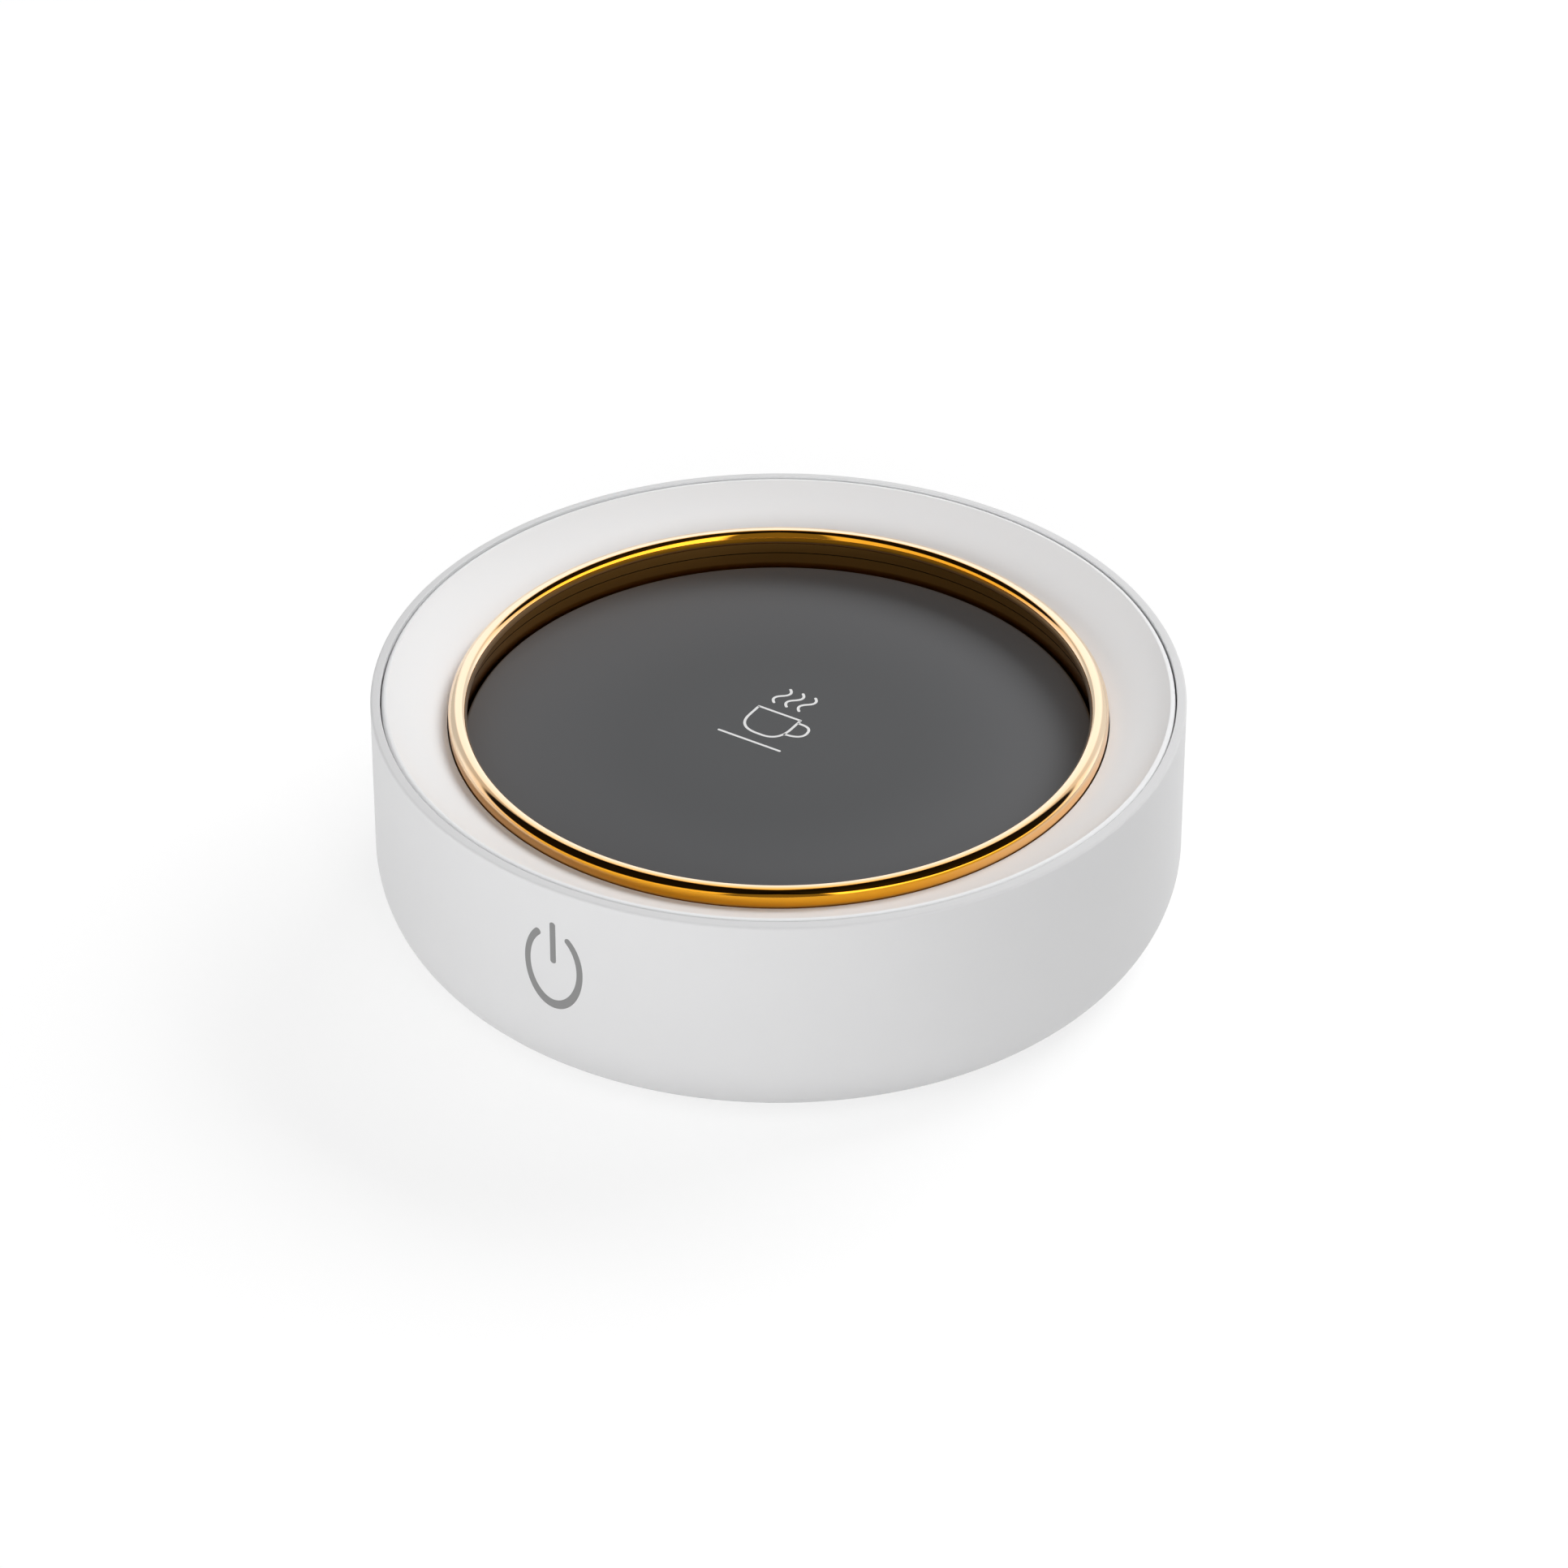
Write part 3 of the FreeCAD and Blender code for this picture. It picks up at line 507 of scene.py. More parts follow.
# skin, colour, shade, roughness, grain per metre, depth of the bumps, and what goes onto the shader
looks = {
    "satinShell": ("moulded", (0.775, 0.775, 0.78), (0.755, 0.755, 0.76), 0.42, 3200, 0.004,
                   shellSheen),
    # the cover is the shell's white plastic made brighter: painted light on the up-facing dish
    "satinCover": ("moulded", (0.945, 0.949, 0.955), (0.935, 0.939, 0.945), 0.4, 2600, 0.004,
                   plain),
    "mirrorGilt": ("polished", (1.0, 0.44, 0.03), (0.97, 0.42, 0.027), 0.05, 1500, 0.0002, metal),
    # the plate's paler Shade is painted light at its edge
    "darkPlate": ("edgeLit", (0.098, 0.1, 0.103), (0.135, 0.138, 0.143), 0.52, 5000, 0.0006,
                  plateSheen),
    "printGrey": ("moulded", (0.26, 0.26, 0.26), (0.24, 0.24, 0.24), 0.5, 5000, 0.001, plain),
    "printWhite": ("moulded", (0.88, 0.88, 0.88), (0.84, 0.84, 0.84), 0.5, 5000, 0.001, plain),
    "footRubber": ("moulded", (0.36, 0.36, 0.355), (0.31, 0.31, 0.305), 0.72, 1400, 0.02, plain),
    "zincScrew": ("polished", (0.62, 0.62, 0.63), (0.5, 0.5, 0.52), 0.3, 2400, 0.002, metal),
    "framePlastic": ("moulded", (0.66, 0.65, 0.62), (0.6, 0.59, 0.56), 0.5, 1200, 0.01, plain),
    "springWire": ("polished", (0.6, 0.6, 0.61), (0.5, 0.5, 0.52), 0.25, 3000, 0.001, metal),
    "sealSilicone": ("moulded", (0.62, 0.62, 0.6), (0.55, 0.55, 0.53), 0.6, 1500, 0.01, plain),
    "spreaderSheet": ("turned", (0.77, 0.77, 0.78), (0.62, 0.62, 0.64), 0.34, 9000, 0.004, metal),
    "heaterFilm": ("etched", (0.52, 0.2, 0.035), (0.16, 0.13, 0.11), 0.3, 143, 0.02, plain),
    "glassFibre": ("fibrous", (0.82, 0.8, 0.75), (0.6, 0.58, 0.52), 0.85, 420, 0.15, plain),
    "caseBlack": ("moulded", (0.03, 0.03, 0.032), (0.02, 0.02, 0.022), 0.45, 2200, 0.006, plain),
    "ferriteGrey": ("moulded", (0.09, 0.09, 0.095), (0.06, 0.06, 0.065), 0.6, 900, 0.02, plain),
    "fuseGlaze": ("moulded", (0.7, 0.67, 0.6), (0.62, 0.59, 0.52), 0.25, 700, 0.004, plain),
    "trayPlastic": ("moulded", (0.03, 0.03, 0.033), (0.022, 0.022, 0.025), 0.5, 1500, 0.01, plain),
    "boardGreen": ("board", (0.01, 0.1, 0.032), (0.03, 0.2, 0.06), 0.26, 60, 0.03, plain),
    "headerPlastic": ("moulded", (0.78, 0.76, 0.68), (0.72, 0.7, 0.62), 0.35, 1800, 0.004, plain),
    "leadRed": ("moulded", (0.42, 0.02, 0.015), (0.34, 0.015, 0.01), 0.45, 1600, 0.01, plain),
    "leadBlack": ("moulded", (0.02, 0.02, 0.02), (0.014, 0.014, 0.014), 0.5, 1600, 0.01, plain),
    "jackBlack": ("moulded", (0.02, 0.02, 0.021), (0.014, 0.014, 0.015), 0.42, 1800, 0.008, plain),
    "contactPlate": ("polished", (0.8, 0.62, 0.33), (0.7, 0.52, 0.26), 0.22, 2600, 0.001, metal),
    "plungerRed": ("moulded", (0.55, 0.03, 0.02), (0.46, 0.02, 0.015), 0.3, 1500, 0.004, plain),
    "ribbonFilm": ("moulded", (0.72, 0.72, 0.73), (0.66, 0.66, 0.67), 0.3, 1100, 0.002, plain),
}
finishes = {name: finishMaterial(name, *look) for name, look in looks.items()}
gilt = {"blend": 0.5, "pale": (1.0, 0.8, 0.58), "paleFrom": 0.2, "paleTo": 0.46,
        "flankLow": 33.3, "flankHigh": 34.4, "flankShare": 0.35,
        # the bore's painted shade: its colour and the heights over which it fades in
        "boreShade": (0.55, 0.28, 0.07), "boreShadeFrom": 32.7, "boreShadeTo": 32.2}


def paleEdge(tree, tint):
    # polished plating pales towards grazing angles, but less so low on the bead's flanks
    g = gilt
    skinColour = tint.links[0].from_socket
    facing = addNode(tree, "ShaderNodeLayerWeight")
    facing.inputs["Blend"].default_value = g["blend"]
    share = rangeNode(tree, facing.outputs["Facing"], g["paleFrom"], g["paleTo"])
    height = splitNode(tree, addNode(tree, "ShaderNodeTexCoord").outputs["Object"])["Z"]
    lift = rangeNode(tree, height, g["flankLow"] * mm, g["flankHigh"] * mm, g["flankShare"])
    paled = mathNode(tree, "MULTIPLY", share, lift)
    tree.links.new(mixNode(tree, "RGBA", paled, skinColour, (*g["pale"], 1)), tint)


def paintedBoreShade(tree, tint):
    # painted shade: the gilt is darkened down in the bore, in place of the dark reflection of the
    # plate
    g = gilt
    giltColour = tint.links[0].from_socket
    height = splitNode(tree, addNode(tree, "ShaderNodeTexCoord").outputs["Object"])["Z"]
    share = rangeNode(tree, height, g["boreShadeTo"] * mm, g["boreShadeFrom"] * mm)
    tree.links.new(mixNode(tree, "RGBA", share, (*g["boreShade"], 1), giltColour), tint)


def dress(piece, finish, slot, body, *nodes):
    # body is None for a piece that blends from one body to another
    piece.data.materials.clear()
    piece.data.materials.append(finishes[finish])
    if body:
        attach(piece, body)
    if nodes:
        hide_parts(*nodes)


giltTree = finishes["mirrorGilt"].node_tree
giltTint = giltTree.nodes["Principled BSDF"].inputs["Base Color"]
paleEdge(giltTree, giltTint)
paintedBoreShade(giltTree, giltTint)
print("materials ready:", len(finishes))


housing = {"radius": 59.97, "rimTop": 36.998, "rimInner": 58.55, "ledge": 34.0, "innerWall": 57.6,
           "underside": 1.0, "floorTop": 3.4, "cornerWide": 9.72, "cornerTall": 11.2,
           "innerWide": 7.35, "innerTall": 8.8, "rimEdge": 0.4, "rimInnerEdge": 0.1, "rimDrop": 0.22,
           "cornerCuts": 20, "steps": 256}
legs = {"circle": 44.0, "angles": (45, 135, 225, 315), "boss": 4.2, "top": 5.8, "well": 3.1,
        "wellDepth": 2.4, "hole": 1.7, "holeLow": 0.5, "holeSides": 40}
boardPosts = {"spots": ((13, -6), (-13, -6), (22, 40), (-22, 40)), "radius": 2.6, "top": 6.6,
              "sides": 48, "pilot": 0.95, "pilotFloor": 0.3, "pilotSides": 32}
feet = {"circle": 42.0, "angles": (0, 90, 180, 270), "radius": 6.0, "top": 2.0, "edge": 0.6,
        "recess": 6.2, "recessDepth": 1.0, "recessSides": 96, "hollow": 0.12, "hollowEdge": 0.4,
        "grooveIn": 3.1, "grooveOut": 3.9, "grooveDepth": 0.35, "grooveEdge": 0.12, "steps": 96}
inlet = {"height": 14.0, "hole": 4.2, "halfDepth": 20}


def makeHousing():
    h = housing
    b = boardPosts
    outer = h["radius"]
    inner = h["innerWall"]
    shell = spunPiece("outerHousing", [
        (0, h["underside"]),
        (outer, h["underside"], h["cornerWide"], h["cornerTall"], h["cornerCuts"]),
        (outer, h["rimTop"] - h["rimDrop"], h["rimEdge"]),
        (h["rimInner"], h["rimTop"], h["rimInnerEdge"]),
        (h["rimInner"], h["ledge"]),
        (inner, h["ledge"]),
        (inner, h["floorTop"], h["innerTall"], h["innerWide"], h["cornerCuts"]),
        (0, h["floorTop"])], h["steps"])
    middle = (h["underside"] + h["floorTop"]) / 2
    bosses = []
    for angle in legs["angles"]:
        bosses.append(upright(legs["boss"], middle, legs["top"], *onCircle(legs["circle"], angle)))
    for x, y in b["spots"]:
        bosses.append(upright(b["radius"], middle, b["top"], x, y, b["sides"]))
    combine(shell, joinPieces(bosses, "bosses"), "UNION")
    cuts = []
    wellTop = h["underside"] + legs["wellDepth"]
    holeTop = legs["top"] + toolPast
    for angle in legs["angles"]:
        spot = onCircle(legs["circle"], angle)
        well = upright(legs["well"], 0, wellTop, *spot)
        hole = upright(legs["hole"], legs["holeLow"], holeTop, *spot, legs["holeSides"])
        combine(well, hole, "UNION")
        cuts.append(well)
    recessTop = h["underside"] + feet["recessDepth"]
    for angle in feet["angles"]:
        spot = onCircle(feet["circle"], angle)
        cuts.append(upright(feet["recess"], 0, recessTop, *spot, feet["recessSides"]))
    pilotLow = h["floorTop"] + b["pilotFloor"]
    pilotHigh = b["top"] + toolPast
    for x, y in b["spots"]:
        cuts.append(upright(b["pilot"], pilotLow, pilotHigh, x, y, b["pilotSides"]))
    hole = upright(inlet["hole"], -inlet["halfDepth"], inlet["halfDepth"])
    bpy.ops.transform.rotate(value=math.pi / 2, orient_axis="X", center_override=(0, 0, 0))
    bpy.ops.transform.translate(value=(0, outer * mm, inlet["height"] * mm))
    placePiece(hole)
    cuts.append(hole)
    combine(shell, joinPieces(cuts, "cuts"), "DIFFERENCE")
    smoothPiece(shell)
    dress(shell, "satinShell", "white_shell", "base", "outer_housing")
    return shell


shell = makeHousing()
print("outer housing:", len(shell.data.polygons), "faces")


cover = {"radius": 58.35, "hole": 48.8, "top": 36.9, "lip": 0.75, "lipOver": 0.05, "lipEdge": 0.7,
         "lipCuts": 8, "edgeLow": 34.0, "dishLow": 32.2, "sag": 0.85, "dishCuts": 20,
         "collar": 50.3, "collarLow": 23.4, "underEdge": 56.4, "underDish": 31.0, "underSag": 0.48,
         "underCuts": 8, "steps": 256}
posts = {"circle": 53.8, "angles": (45, 135, 225, 315), "radius": 2.8, "low": 17.0, "sides": 48,
         "cover": 0.7, "webFrom": 49.7, "web": 1.2, "webLow": 24.4, "pilot": 1.25, "pilotEnd": 24.6,
         "pilotSides": 32, "trimTop": 4, "trimCuts": 12, "trimSteps": 128}


def saggedLine(start, end, sag, cuts):
    # a hollow curve between two points, sag deep in its middle
    first = Vector(start)
    last = Vector(end)
    run = last - first
    side = Vector((-run.y, run.x)).normalized()
    if side.y > 0:
        side = -side
    points = []
    for step in range(cuts + 1):
        share = step / cuts
        points.append(tuple(first + run * share + side * sag * 4 * share * (1 - share)))
    return points


def makePosts():
    # screw posts with their webs, trimmed along the dish so that they end inside the cover's skin
    c = cover
    p = posts
    post = upright(p["radius"], p["low"], c["top"], p["circle"], 0, p["sides"])
    deselectAll()
    middle = ((p["webFrom"] + p["circle"]) / 2 * mm, 0, (p["webLow"] + c["dishLow"]) / 2 * mm)
    bpy.ops.mesh.primitive_cube_add(size=mm, location=middle)
    size = (p["circle"] - p["webFrom"], p["web"], c["dishLow"] - p["webLow"])
    bpy.ops.transform.resize(value=size)
    web = bpy.context.object
    placePiece(web)
    combine(post, web, "UNION")
    placePiece(post)
    made = joinPieces([turnedCopy(post, "coverPost", angle) for angle in p["angles"]], "coverPosts")
    bpy.data.objects.remove(post, do_unlink=True)
    outer = c["radius"] - c["lip"] + toolPast
    inner = c["hole"] - toolPast
    sunk = saggedLine((outer, c["top"] - p["cover"]), (inner, c["dishLow"] - p["cover"]),
                      c["sag"], p["trimCuts"])
    high = c["top"] + p["trimTop"]
    above = spunPiece("above", sunk + [(inner, high), (outer, high)], p["trimSteps"], closed=True)
    combine(made, above, "DIFFERENCE")
    return made


def makeCover():
    c = cover
    p = posts
    lipInner = c["radius"] - c["lip"]
    dish = saggedLine((lipInner, c["top"]), (c["hole"], c["dishLow"]), c["sag"], c["dishCuts"])
    under = saggedLine((c["collar"], c["underDish"]), (c["underEdge"], c["edgeLow"]),
                       c["underSag"], c["underCuts"])
    lip = roundOff(Vector((c["radius"], 0, c["edgeLow"])),
                   Vector((c["radius"], 0, c["top"] + c["lipOver"])),
                   Vector((lipInner, 0, c["top"])), c["lipEdge"], c["lipEdge"], c["lipCuts"])
    corners = [(c["radius"], c["edgeLow"])] + [(spot.x, spot.z) for spot in lip] + dish
    corners += [(c["hole"], c["collarLow"]), (c["collar"], c["collarLow"])] + under
    piece = spunPiece("dishedCover", corners, c["steps"], closed=True)
    combine(piece, makePosts(), "UNION")
    pilots = []
    pilotLow = p["low"] - toolPast
    for angle in p["angles"]:
        spot = onCircle(p["circle"], angle)
        pilots.append(upright(p["pilot"], pilotLow, p["pilotEnd"], *spot, p["pilotSides"]))
    combine(piece, joinPieces(pilots, "pilots"), "DIFFERENCE")
    smoothPiece(piece)
    dress(piece, "satinCover", "white_cover", "base", "top_cover")
    return piece


dished = makeCover()
print("dished cover:", len(dished.data.polygons), "faces")


ring = {"outer": 48.65, "crest": 34.74, "crestAt": 46.88, "shoulder": 33.65, "bead": 1.03,
        "beadTall": 1.35, "cuts": 14, "underCuts": 12, "bore": 47.0, "joint": 30.5, "tongue": 47.74,
        "low": 29.6, "steps": 384, "smooth": 40}
sleeve = {"bore": 47.0, "outer": 48.5, "tongue": 47.64, "joint": 30.36, "step": 29.6,
          "flange": 51.0, "flangeTop": 23.4, "flangeLow": 22.4, "steps": 256}


def makeRing():
    # a round bead leaning inwards over the plate, with a longer shoulder on its outer side
    r = ring
    bead = r["bead"]
    inner = r["crestAt"] - bead
    under = r["crest"] - r["beadTall"] - bead
    corners = [
        (r["outer"], r["low"]),
        (r["outer"], r["crest"], r["crest"] - r["shoulder"], r["outer"] - r["crestAt"], r["cuts"]),
        (inner, r["crest"], bead, r["beadTall"], r["cuts"]),
        (inner, under, bead, bead, r["underCuts"]),
        (r["bore"], under),
        (r["bore"], r["joint"]),
        (r["tongue"], r["joint"]),
        (r["tongue"], r["low"])]
    piece = spunPiece("giltRing", corners, r["steps"], closed=True)
    smoothPiece(piece, r["smooth"])
    dress(piece, "mirrorGilt", "gilt", "base", "trim_ring")
    return piece


def makeSleeve():
    s = sleeve
    corners = [
        (s["bore"], s["flangeLow"]), (s["flange"], s["flangeLow"]), (s["flange"], s["flangeTop"]),
        (s["outer"], s["flangeTop"]), (s["outer"], s["step"]), (s["tongue"], s["step"]),
        (s["tongue"], s["joint"]), (s["bore"], s["joint"])]
    piece = spunPiece("giltSleeve", corners, s["steps"], closed=True)
    smoothPiece(piece, ring["smooth"])
    dress(piece, "mirrorGilt", "gilt", "base", "inner_sleeve")
    return piece


giltRing = makeRing()
giltSleeve = makeSleeve()
print("gilt ring and sleeve:", len(giltRing.data.polygons) + len(giltSleeve.data.polygons), "faces")


plate = {"radius": 46.7, "low": 24.2, "top": 28.2, "edge": 0.6, "lowEdge": 0.3, "steps": 256}
# the cup's corners, the three points of each of its curves, and the steam's places and heights
cup = {"middle": (-3.0, 4.5), "width": 0.42, "lift": 0.004, "thick": 0.012, "cuts": 14,
       "rimLine": [(-4.1, 1.0), (3.6, 1.0)], "saucer": [(-5.8, -7.4), (5.2, -7.4)],
       "topLeft": (-3.9, 1.0), "left": ((-3.9, -1.6), (-3.9, -5.2), (-0.3, -5.2)),
       "right": ((0.5, -5.2), (3.4, -5.2), (3.4, -1.6)), "topRight": (3.4, 1.0),
       "handleTop": (3.4, 0.2), "handleOut": ((4.2, 0.2), (6.0, 0.2), (6.0, -1.5)),
       "handleBack": ((6.0, -1.5), (6.0, -3.2), (3.1, -3.3)),
       "steamAt": (-2.4, -0.2, 2.0), "steamSway": 1.5, "steamRise": (2.9, 4.0, 5.1, 6.2, 7.3)}


def makePlate():
    p = plate
    piece = spunPiece("hotPlate", [
        (0, p["low"]), (p["radius"], p["low"], p["lowEdge"]), (p["radius"], p["top"], p["edge"]),
        (0, p["top"])], p["steps"])
    smoothPiece(piece)
    dress(piece, "darkPlate", "dark_glass", "plate", "glass_plate")
    return piece


def curved(start, middle, end):
    # points of a curve that leaves start, is pulled towards middle and arrives at end
    points = []
    for step in range(cup["cuts"] + 1):
        share = step / cup["cuts"]
        points.append(tuple(start[axis] * (1 - share) ** 2 + 2 * middle[axis] * share * (1 - share)
                            + end[axis] * share ** 2 for axis in (0, 1)))
    return points


def makeCupPrint():
    c = cup
    body = [c["topLeft"]] + curved(*c["left"]) + curved(*c["right"]) + [c["topRight"]]
    handle = [c["handleTop"]] + curved(*c["handleOut"]) + curved(*c["handleBack"])
    strokes = [body, c["rimLine"], handle, c["saucer"]]
    foot, low, middle, high, tip = c["steamRise"]
    for x in c["steamAt"]:
        left = x - c["steamSway"]
        right = x + c["steamSway"]
        lower = curved((x, foot), (left, low), (x, middle))
        upper = curved((x, middle), (right, high), (x, tip))
        strokes.append(lower + upper[1:])
    piece = inked("cupPrint", strokes, c["width"])
    activate(piece)
    x, y = c["middle"]
    bpy.ops.transform.translate(value=(x * mm, y * mm, (plate["top"] + c["lift"]) * mm))
    placePiece(piece)
    skin = piece.modifiers.new("ink", "SOLIDIFY")
    skin.thickness = c["thick"] * mm
    skin.offset = 1.0
    bpy.ops.object.modifier_apply(modifier=skin.name)
    dress(piece, "printWhite", "dark_glass", "plate")
    return piece


hotPlate = makePlate()
cupPrint = makeCupPrint()
print("hot plate and print:", len(hotPlate.data.polygons) + len(cupPrint.data.polygons), "faces")


mark = {"centre": 23.53, "halfWide": 4.42, "halfTall": 6.35, "width": 0.98, "gap": 29.5, "cuts": 80,
        "heavy": 0.48, "sink": 0.25, "headHeavy": 0.2, "headFrom": 300, "headRun": 30,
        "barTop": 7.66, "barLow": 0.56, "barSide": 0.05, "barWidth": 1.0,
        "standOff": 5, "lift": 0.008, "thick": 0.012}


def makePowerMark():
    m = mark
    arc = []
    for step in range(m["cuts"] + 1):
        degrees = m["gap"] + (360 - 2 * m["gap"]) * step / m["cuts"]
        turn = math.radians(degrees)
        # the stroke is heavier below, and a little at its left head
        below = max(0.0, -math.cos(turn)) ** 2
        head = max(0.0, degrees - m["headFrom"]) / m["headRun"]
        arc.append((m["halfWide"] * math.sin(turn),
                    m["halfTall"] * math.cos(turn) - m["sink"] * below,
                    1 + m["heavy"] * below + m["headHeavy"] * head))
    line = [(m["barSide"], m["barTop"]), (m["barSide"], m["barLow"])]
    loop = inked("powerMark", [arc], m["width"])
    bar = inked("powerBar", [line], m["barWidth"])
    piece = joinPieces([loop, bar], "powerMark")
    # stood up in front of the wall, then pressed onto it
    bpy.ops.transform.rotate(value=-math.pi / 2, orient_axis="X", center_override=(0, 0, 0))
    inFront = -(housing["radius"] + m["standOff"])
    bpy.ops.transform.translate(value=(0, inFront * mm, m["centre"] * mm))
    placePiece(piece)
    press = piece.modifiers.new("press", "SHRINKWRAP")
    press.target = shell
    press.wrap_method = "PROJECT"
    press.use_project_y = True
    press.use_positive_direction = True
    press.offset = m["lift"] * mm
    bpy.ops.object.modifier_apply(modifier=press.name)
    skin = piece.modifiers.new("ink", "SOLIDIFY")
    skin.thickness = m["thick"] * mm
    skin.offset = 0.0
    bpy.ops.object.modifier_apply(modifier=skin.name)
    dress(piece, "printGrey", "white_shell", "base")
    return piece


powerMark = makePowerMark()
print("power mark:", len(powerMark.data.polygons), "faces")


screws = {"head": 2.6, "low": 1.8, "seat": 3.4, "edge": 0.5, "cross": 0.62, "crossReach": 1.45,
          "crossDepth": 0.9, "shank": 1.4, "end": 11.4, "tip": 0.4, "steps": 48}


def spreadCopies(piece, name, circle, angles, *look):
    # moved out onto its circle, then copied round it, with a number after each name
    smoothPiece(piece)
    bpy.ops.transform.translate(value=(circle * mm, 0, 0))
    placePiece(piece)
    made = []
    for number, angle in enumerate(angles, 1):
        copy = turnedCopy(piece, name + str(number), angle)
        dress(copy, *look)
        made.append(copy)
    bpy.data.objects.remove(piece, do_unlink=True)
    return made


def makeFeet():
    f = feet
    edge = f["grooveEdge"]
    foot = spunPiece("rubberFoot", [
        (0, f["hollow"]),
        (f["grooveIn"] - f["hollowEdge"], 0.0),
        (f["grooveIn"], 0.0, edge),
        (f["grooveIn"], f["grooveDepth"]),
        (f["grooveOut"], f["grooveDepth"]),
        (f["grooveOut"], 0.0, edge),
        (f["radius"], 0.0, f["edge"]),
        (f["radius"], f["top"]),
        (0, f["top"])], f["steps"])
    return spreadCopies(foot, "rubberFoot", f["circle"], f["angles"],
                        "footRubber", "foot_rubber", "base", "rubber_feet")


def makeHousingScrews():
    s = screws
    screw = spunPiece("caseScrew", [
        (0, s["low"]), (s["head"], s["low"], s["edge"]), (s["head"], s["seat"]),
        (s["shank"], s["seat"]), (s["shank"], s["end"], s["tip"]), (0, s["end"])], s["steps"])
    for long, wide in ((s["crossReach"], s["cross"] / 2), (s["cross"] / 2, s["crossReach"])):
        deselectAll()
        bpy.ops.mesh.primitive_cube_add(size=2 * mm, location=(0, 0, s["low"] * mm))
        bpy.ops.transform.resize(value=(long, wide, s["crossDepth"]))
        slotTool = bpy.context.object
        placePiece(slotTool)
        combine(screw, slotTool, "DIFFERENCE")
    return spreadCopies(screw, "caseScrew", legs["circle"], legs["angles"],
                        "zincScrew", "screw_steel", "base", "housing_screws")


rubberFeet = makeFeet()
caseScrews = makeHousingScrews()
print("feet and screws:", len(rubberFeet) + len(caseScrews), "pieces")


carriage = {"travel": 0.8, "leadLow": 14.5, "leadHigh": 21.5, "smooth": 70}


def nodeCopy(nodeName, name):
    # a merged and smoothed copy of a CAD node, free of its body
    copy = copyPiece(frame["nodes"][nodeName], name)
    bpy.ops.object.parent_clear(type="CLEAR_KEEP_TRANSFORM")
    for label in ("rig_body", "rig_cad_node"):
        del copy[label]
    cleanShell(copy)
    smoothPiece(copy, carriage["smooth"])
    return copy


def makeSprings():
    # they stand on the frame, with a mesh of their own
    springs = nodeCopy("return_springs", "returnSprings")
    dress(springs, "springWire", "spring_steel", "base", "return_springs")
    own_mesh(springs)
    return springs


def makeLeads(nodeName, name, finish, slot):
    # soldered to the heater above and held by the board's header below
    leads = nodeCopy(nodeName, name)
    dress(leads, finish, slot, None, nodeName)
    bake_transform(leads)
    return leads


followers = [
    makeSprings(),
    makeLeads("heater_leads", "heaterLeads", "leadRed", "lead_red"),
    makeLeads("sensor_leads", "sensorLeads", "leadBlack", "lead_black")]
print("pieces that follow the plate:", len(followers))


nodeFinishes = {
    "support_frame": "framePlastic", "frame_screws": "zincScrew", "plate_seal": "sealSilicone",
    "heat_spreader": "spreaderSheet", "heating_element": "heaterFilm",
    "insulation_pad": "glassFibre", "temperature_sensor": "caseBlack", "thermal_fuse": "fuseGlaze",
    "plate_tray": "trayPlastic", "stop_washers": "zincScrew", "stop_screws": "zincScrew",
    "control_board": "boardGreen", "board_screws": "zincScrew", "controller_chip": "caseBlack",
    "power_inductor": "ferriteGrey", "filter_capacitors": "caseBlack",
    "lead_headers": "headerPlastic", "inlet_jack": "jackBlack", "inlet_pin": "contactPlate",
    "microswitch_body": "caseBlack", "microswitch_plunger": "plungerRed",
    "touch_electrode": "contactPlate", "touch_ribbon": "ribbonFilm"}
for nodeName, finish in nodeFinishes.items():
    node = frame["nodes"][nodeName]
    for slot in node.material_slots:
        slot.material = finishes[finish]
print("finishes on CAD nodes:", len(nodeFinishes))


# size and rimAt count pixels of the photo, focal too; distance is in metres
photo = {"size": 1932, "sensor": 36.0, "focal": 8381.2, "distance": 1.0, "azimuth": 32.3,
         "elevation": 33.904, "rimHeight": 37.0, "rimAt": (959.29, 847.98)}
studio = {"floorSize": 24, "floorColour": 0.34, "floorGlow": 0.72, "floorBounce": 0.8, "fill": 0.13,
          "ceiling": 0.02, "wallsEnd": 0.9, "ceilingStarts": 0.95, "ceilingFalls": 0.55}
# what shiny surfaces see of the studio walls, by degrees round from the camera: two front screens
# with a dark gap between them, and the backdrop
screens = [
    (-180, 1.15), (-160, 1.15), (-155, 0.6), (-140, 0.6), (-130, 1.0), (-88, 1.0), (-21, 1.0),
    (-17, 0.2), (17, 0.2), (21, 2.2), (80, 2.0), (100, 1.2), (130, 1.2), (140, 0.8), (155, 0.8),
    (160, 1.2), (180, 1.15)]
# the lamps are alike, stand distance metres off and look at a point this high above the desk
lampBox = {"distance": 1.5, "width": 1.2, "height": 0.7, "aim": 0.03}
# each lamp's degrees round from the camera, its elevation and its glow
softboxes = {
    "frontBox": (0, 22, 2.85),
    "frontHighBox": (0, 55, 0.95),
    "rightBackBox": (135, 40, 6.8),
    "leftBox": (270, 12, 1.6),
    "leftFrontBox": (320, 14, 2.1),
}


def direction(azimuth, elevation):
    # azimuth 0 stands in front of the part, at -Y, and grows towards +X
    turn = math.radians(azimuth)
    rise = math.radians(elevation)
    reach = math.cos(rise)
    return Vector((math.sin(turn) * reach, -math.cos(turn) * reach, math.sin(rise)))


def grey(value):
    return (value, value, value, 1)


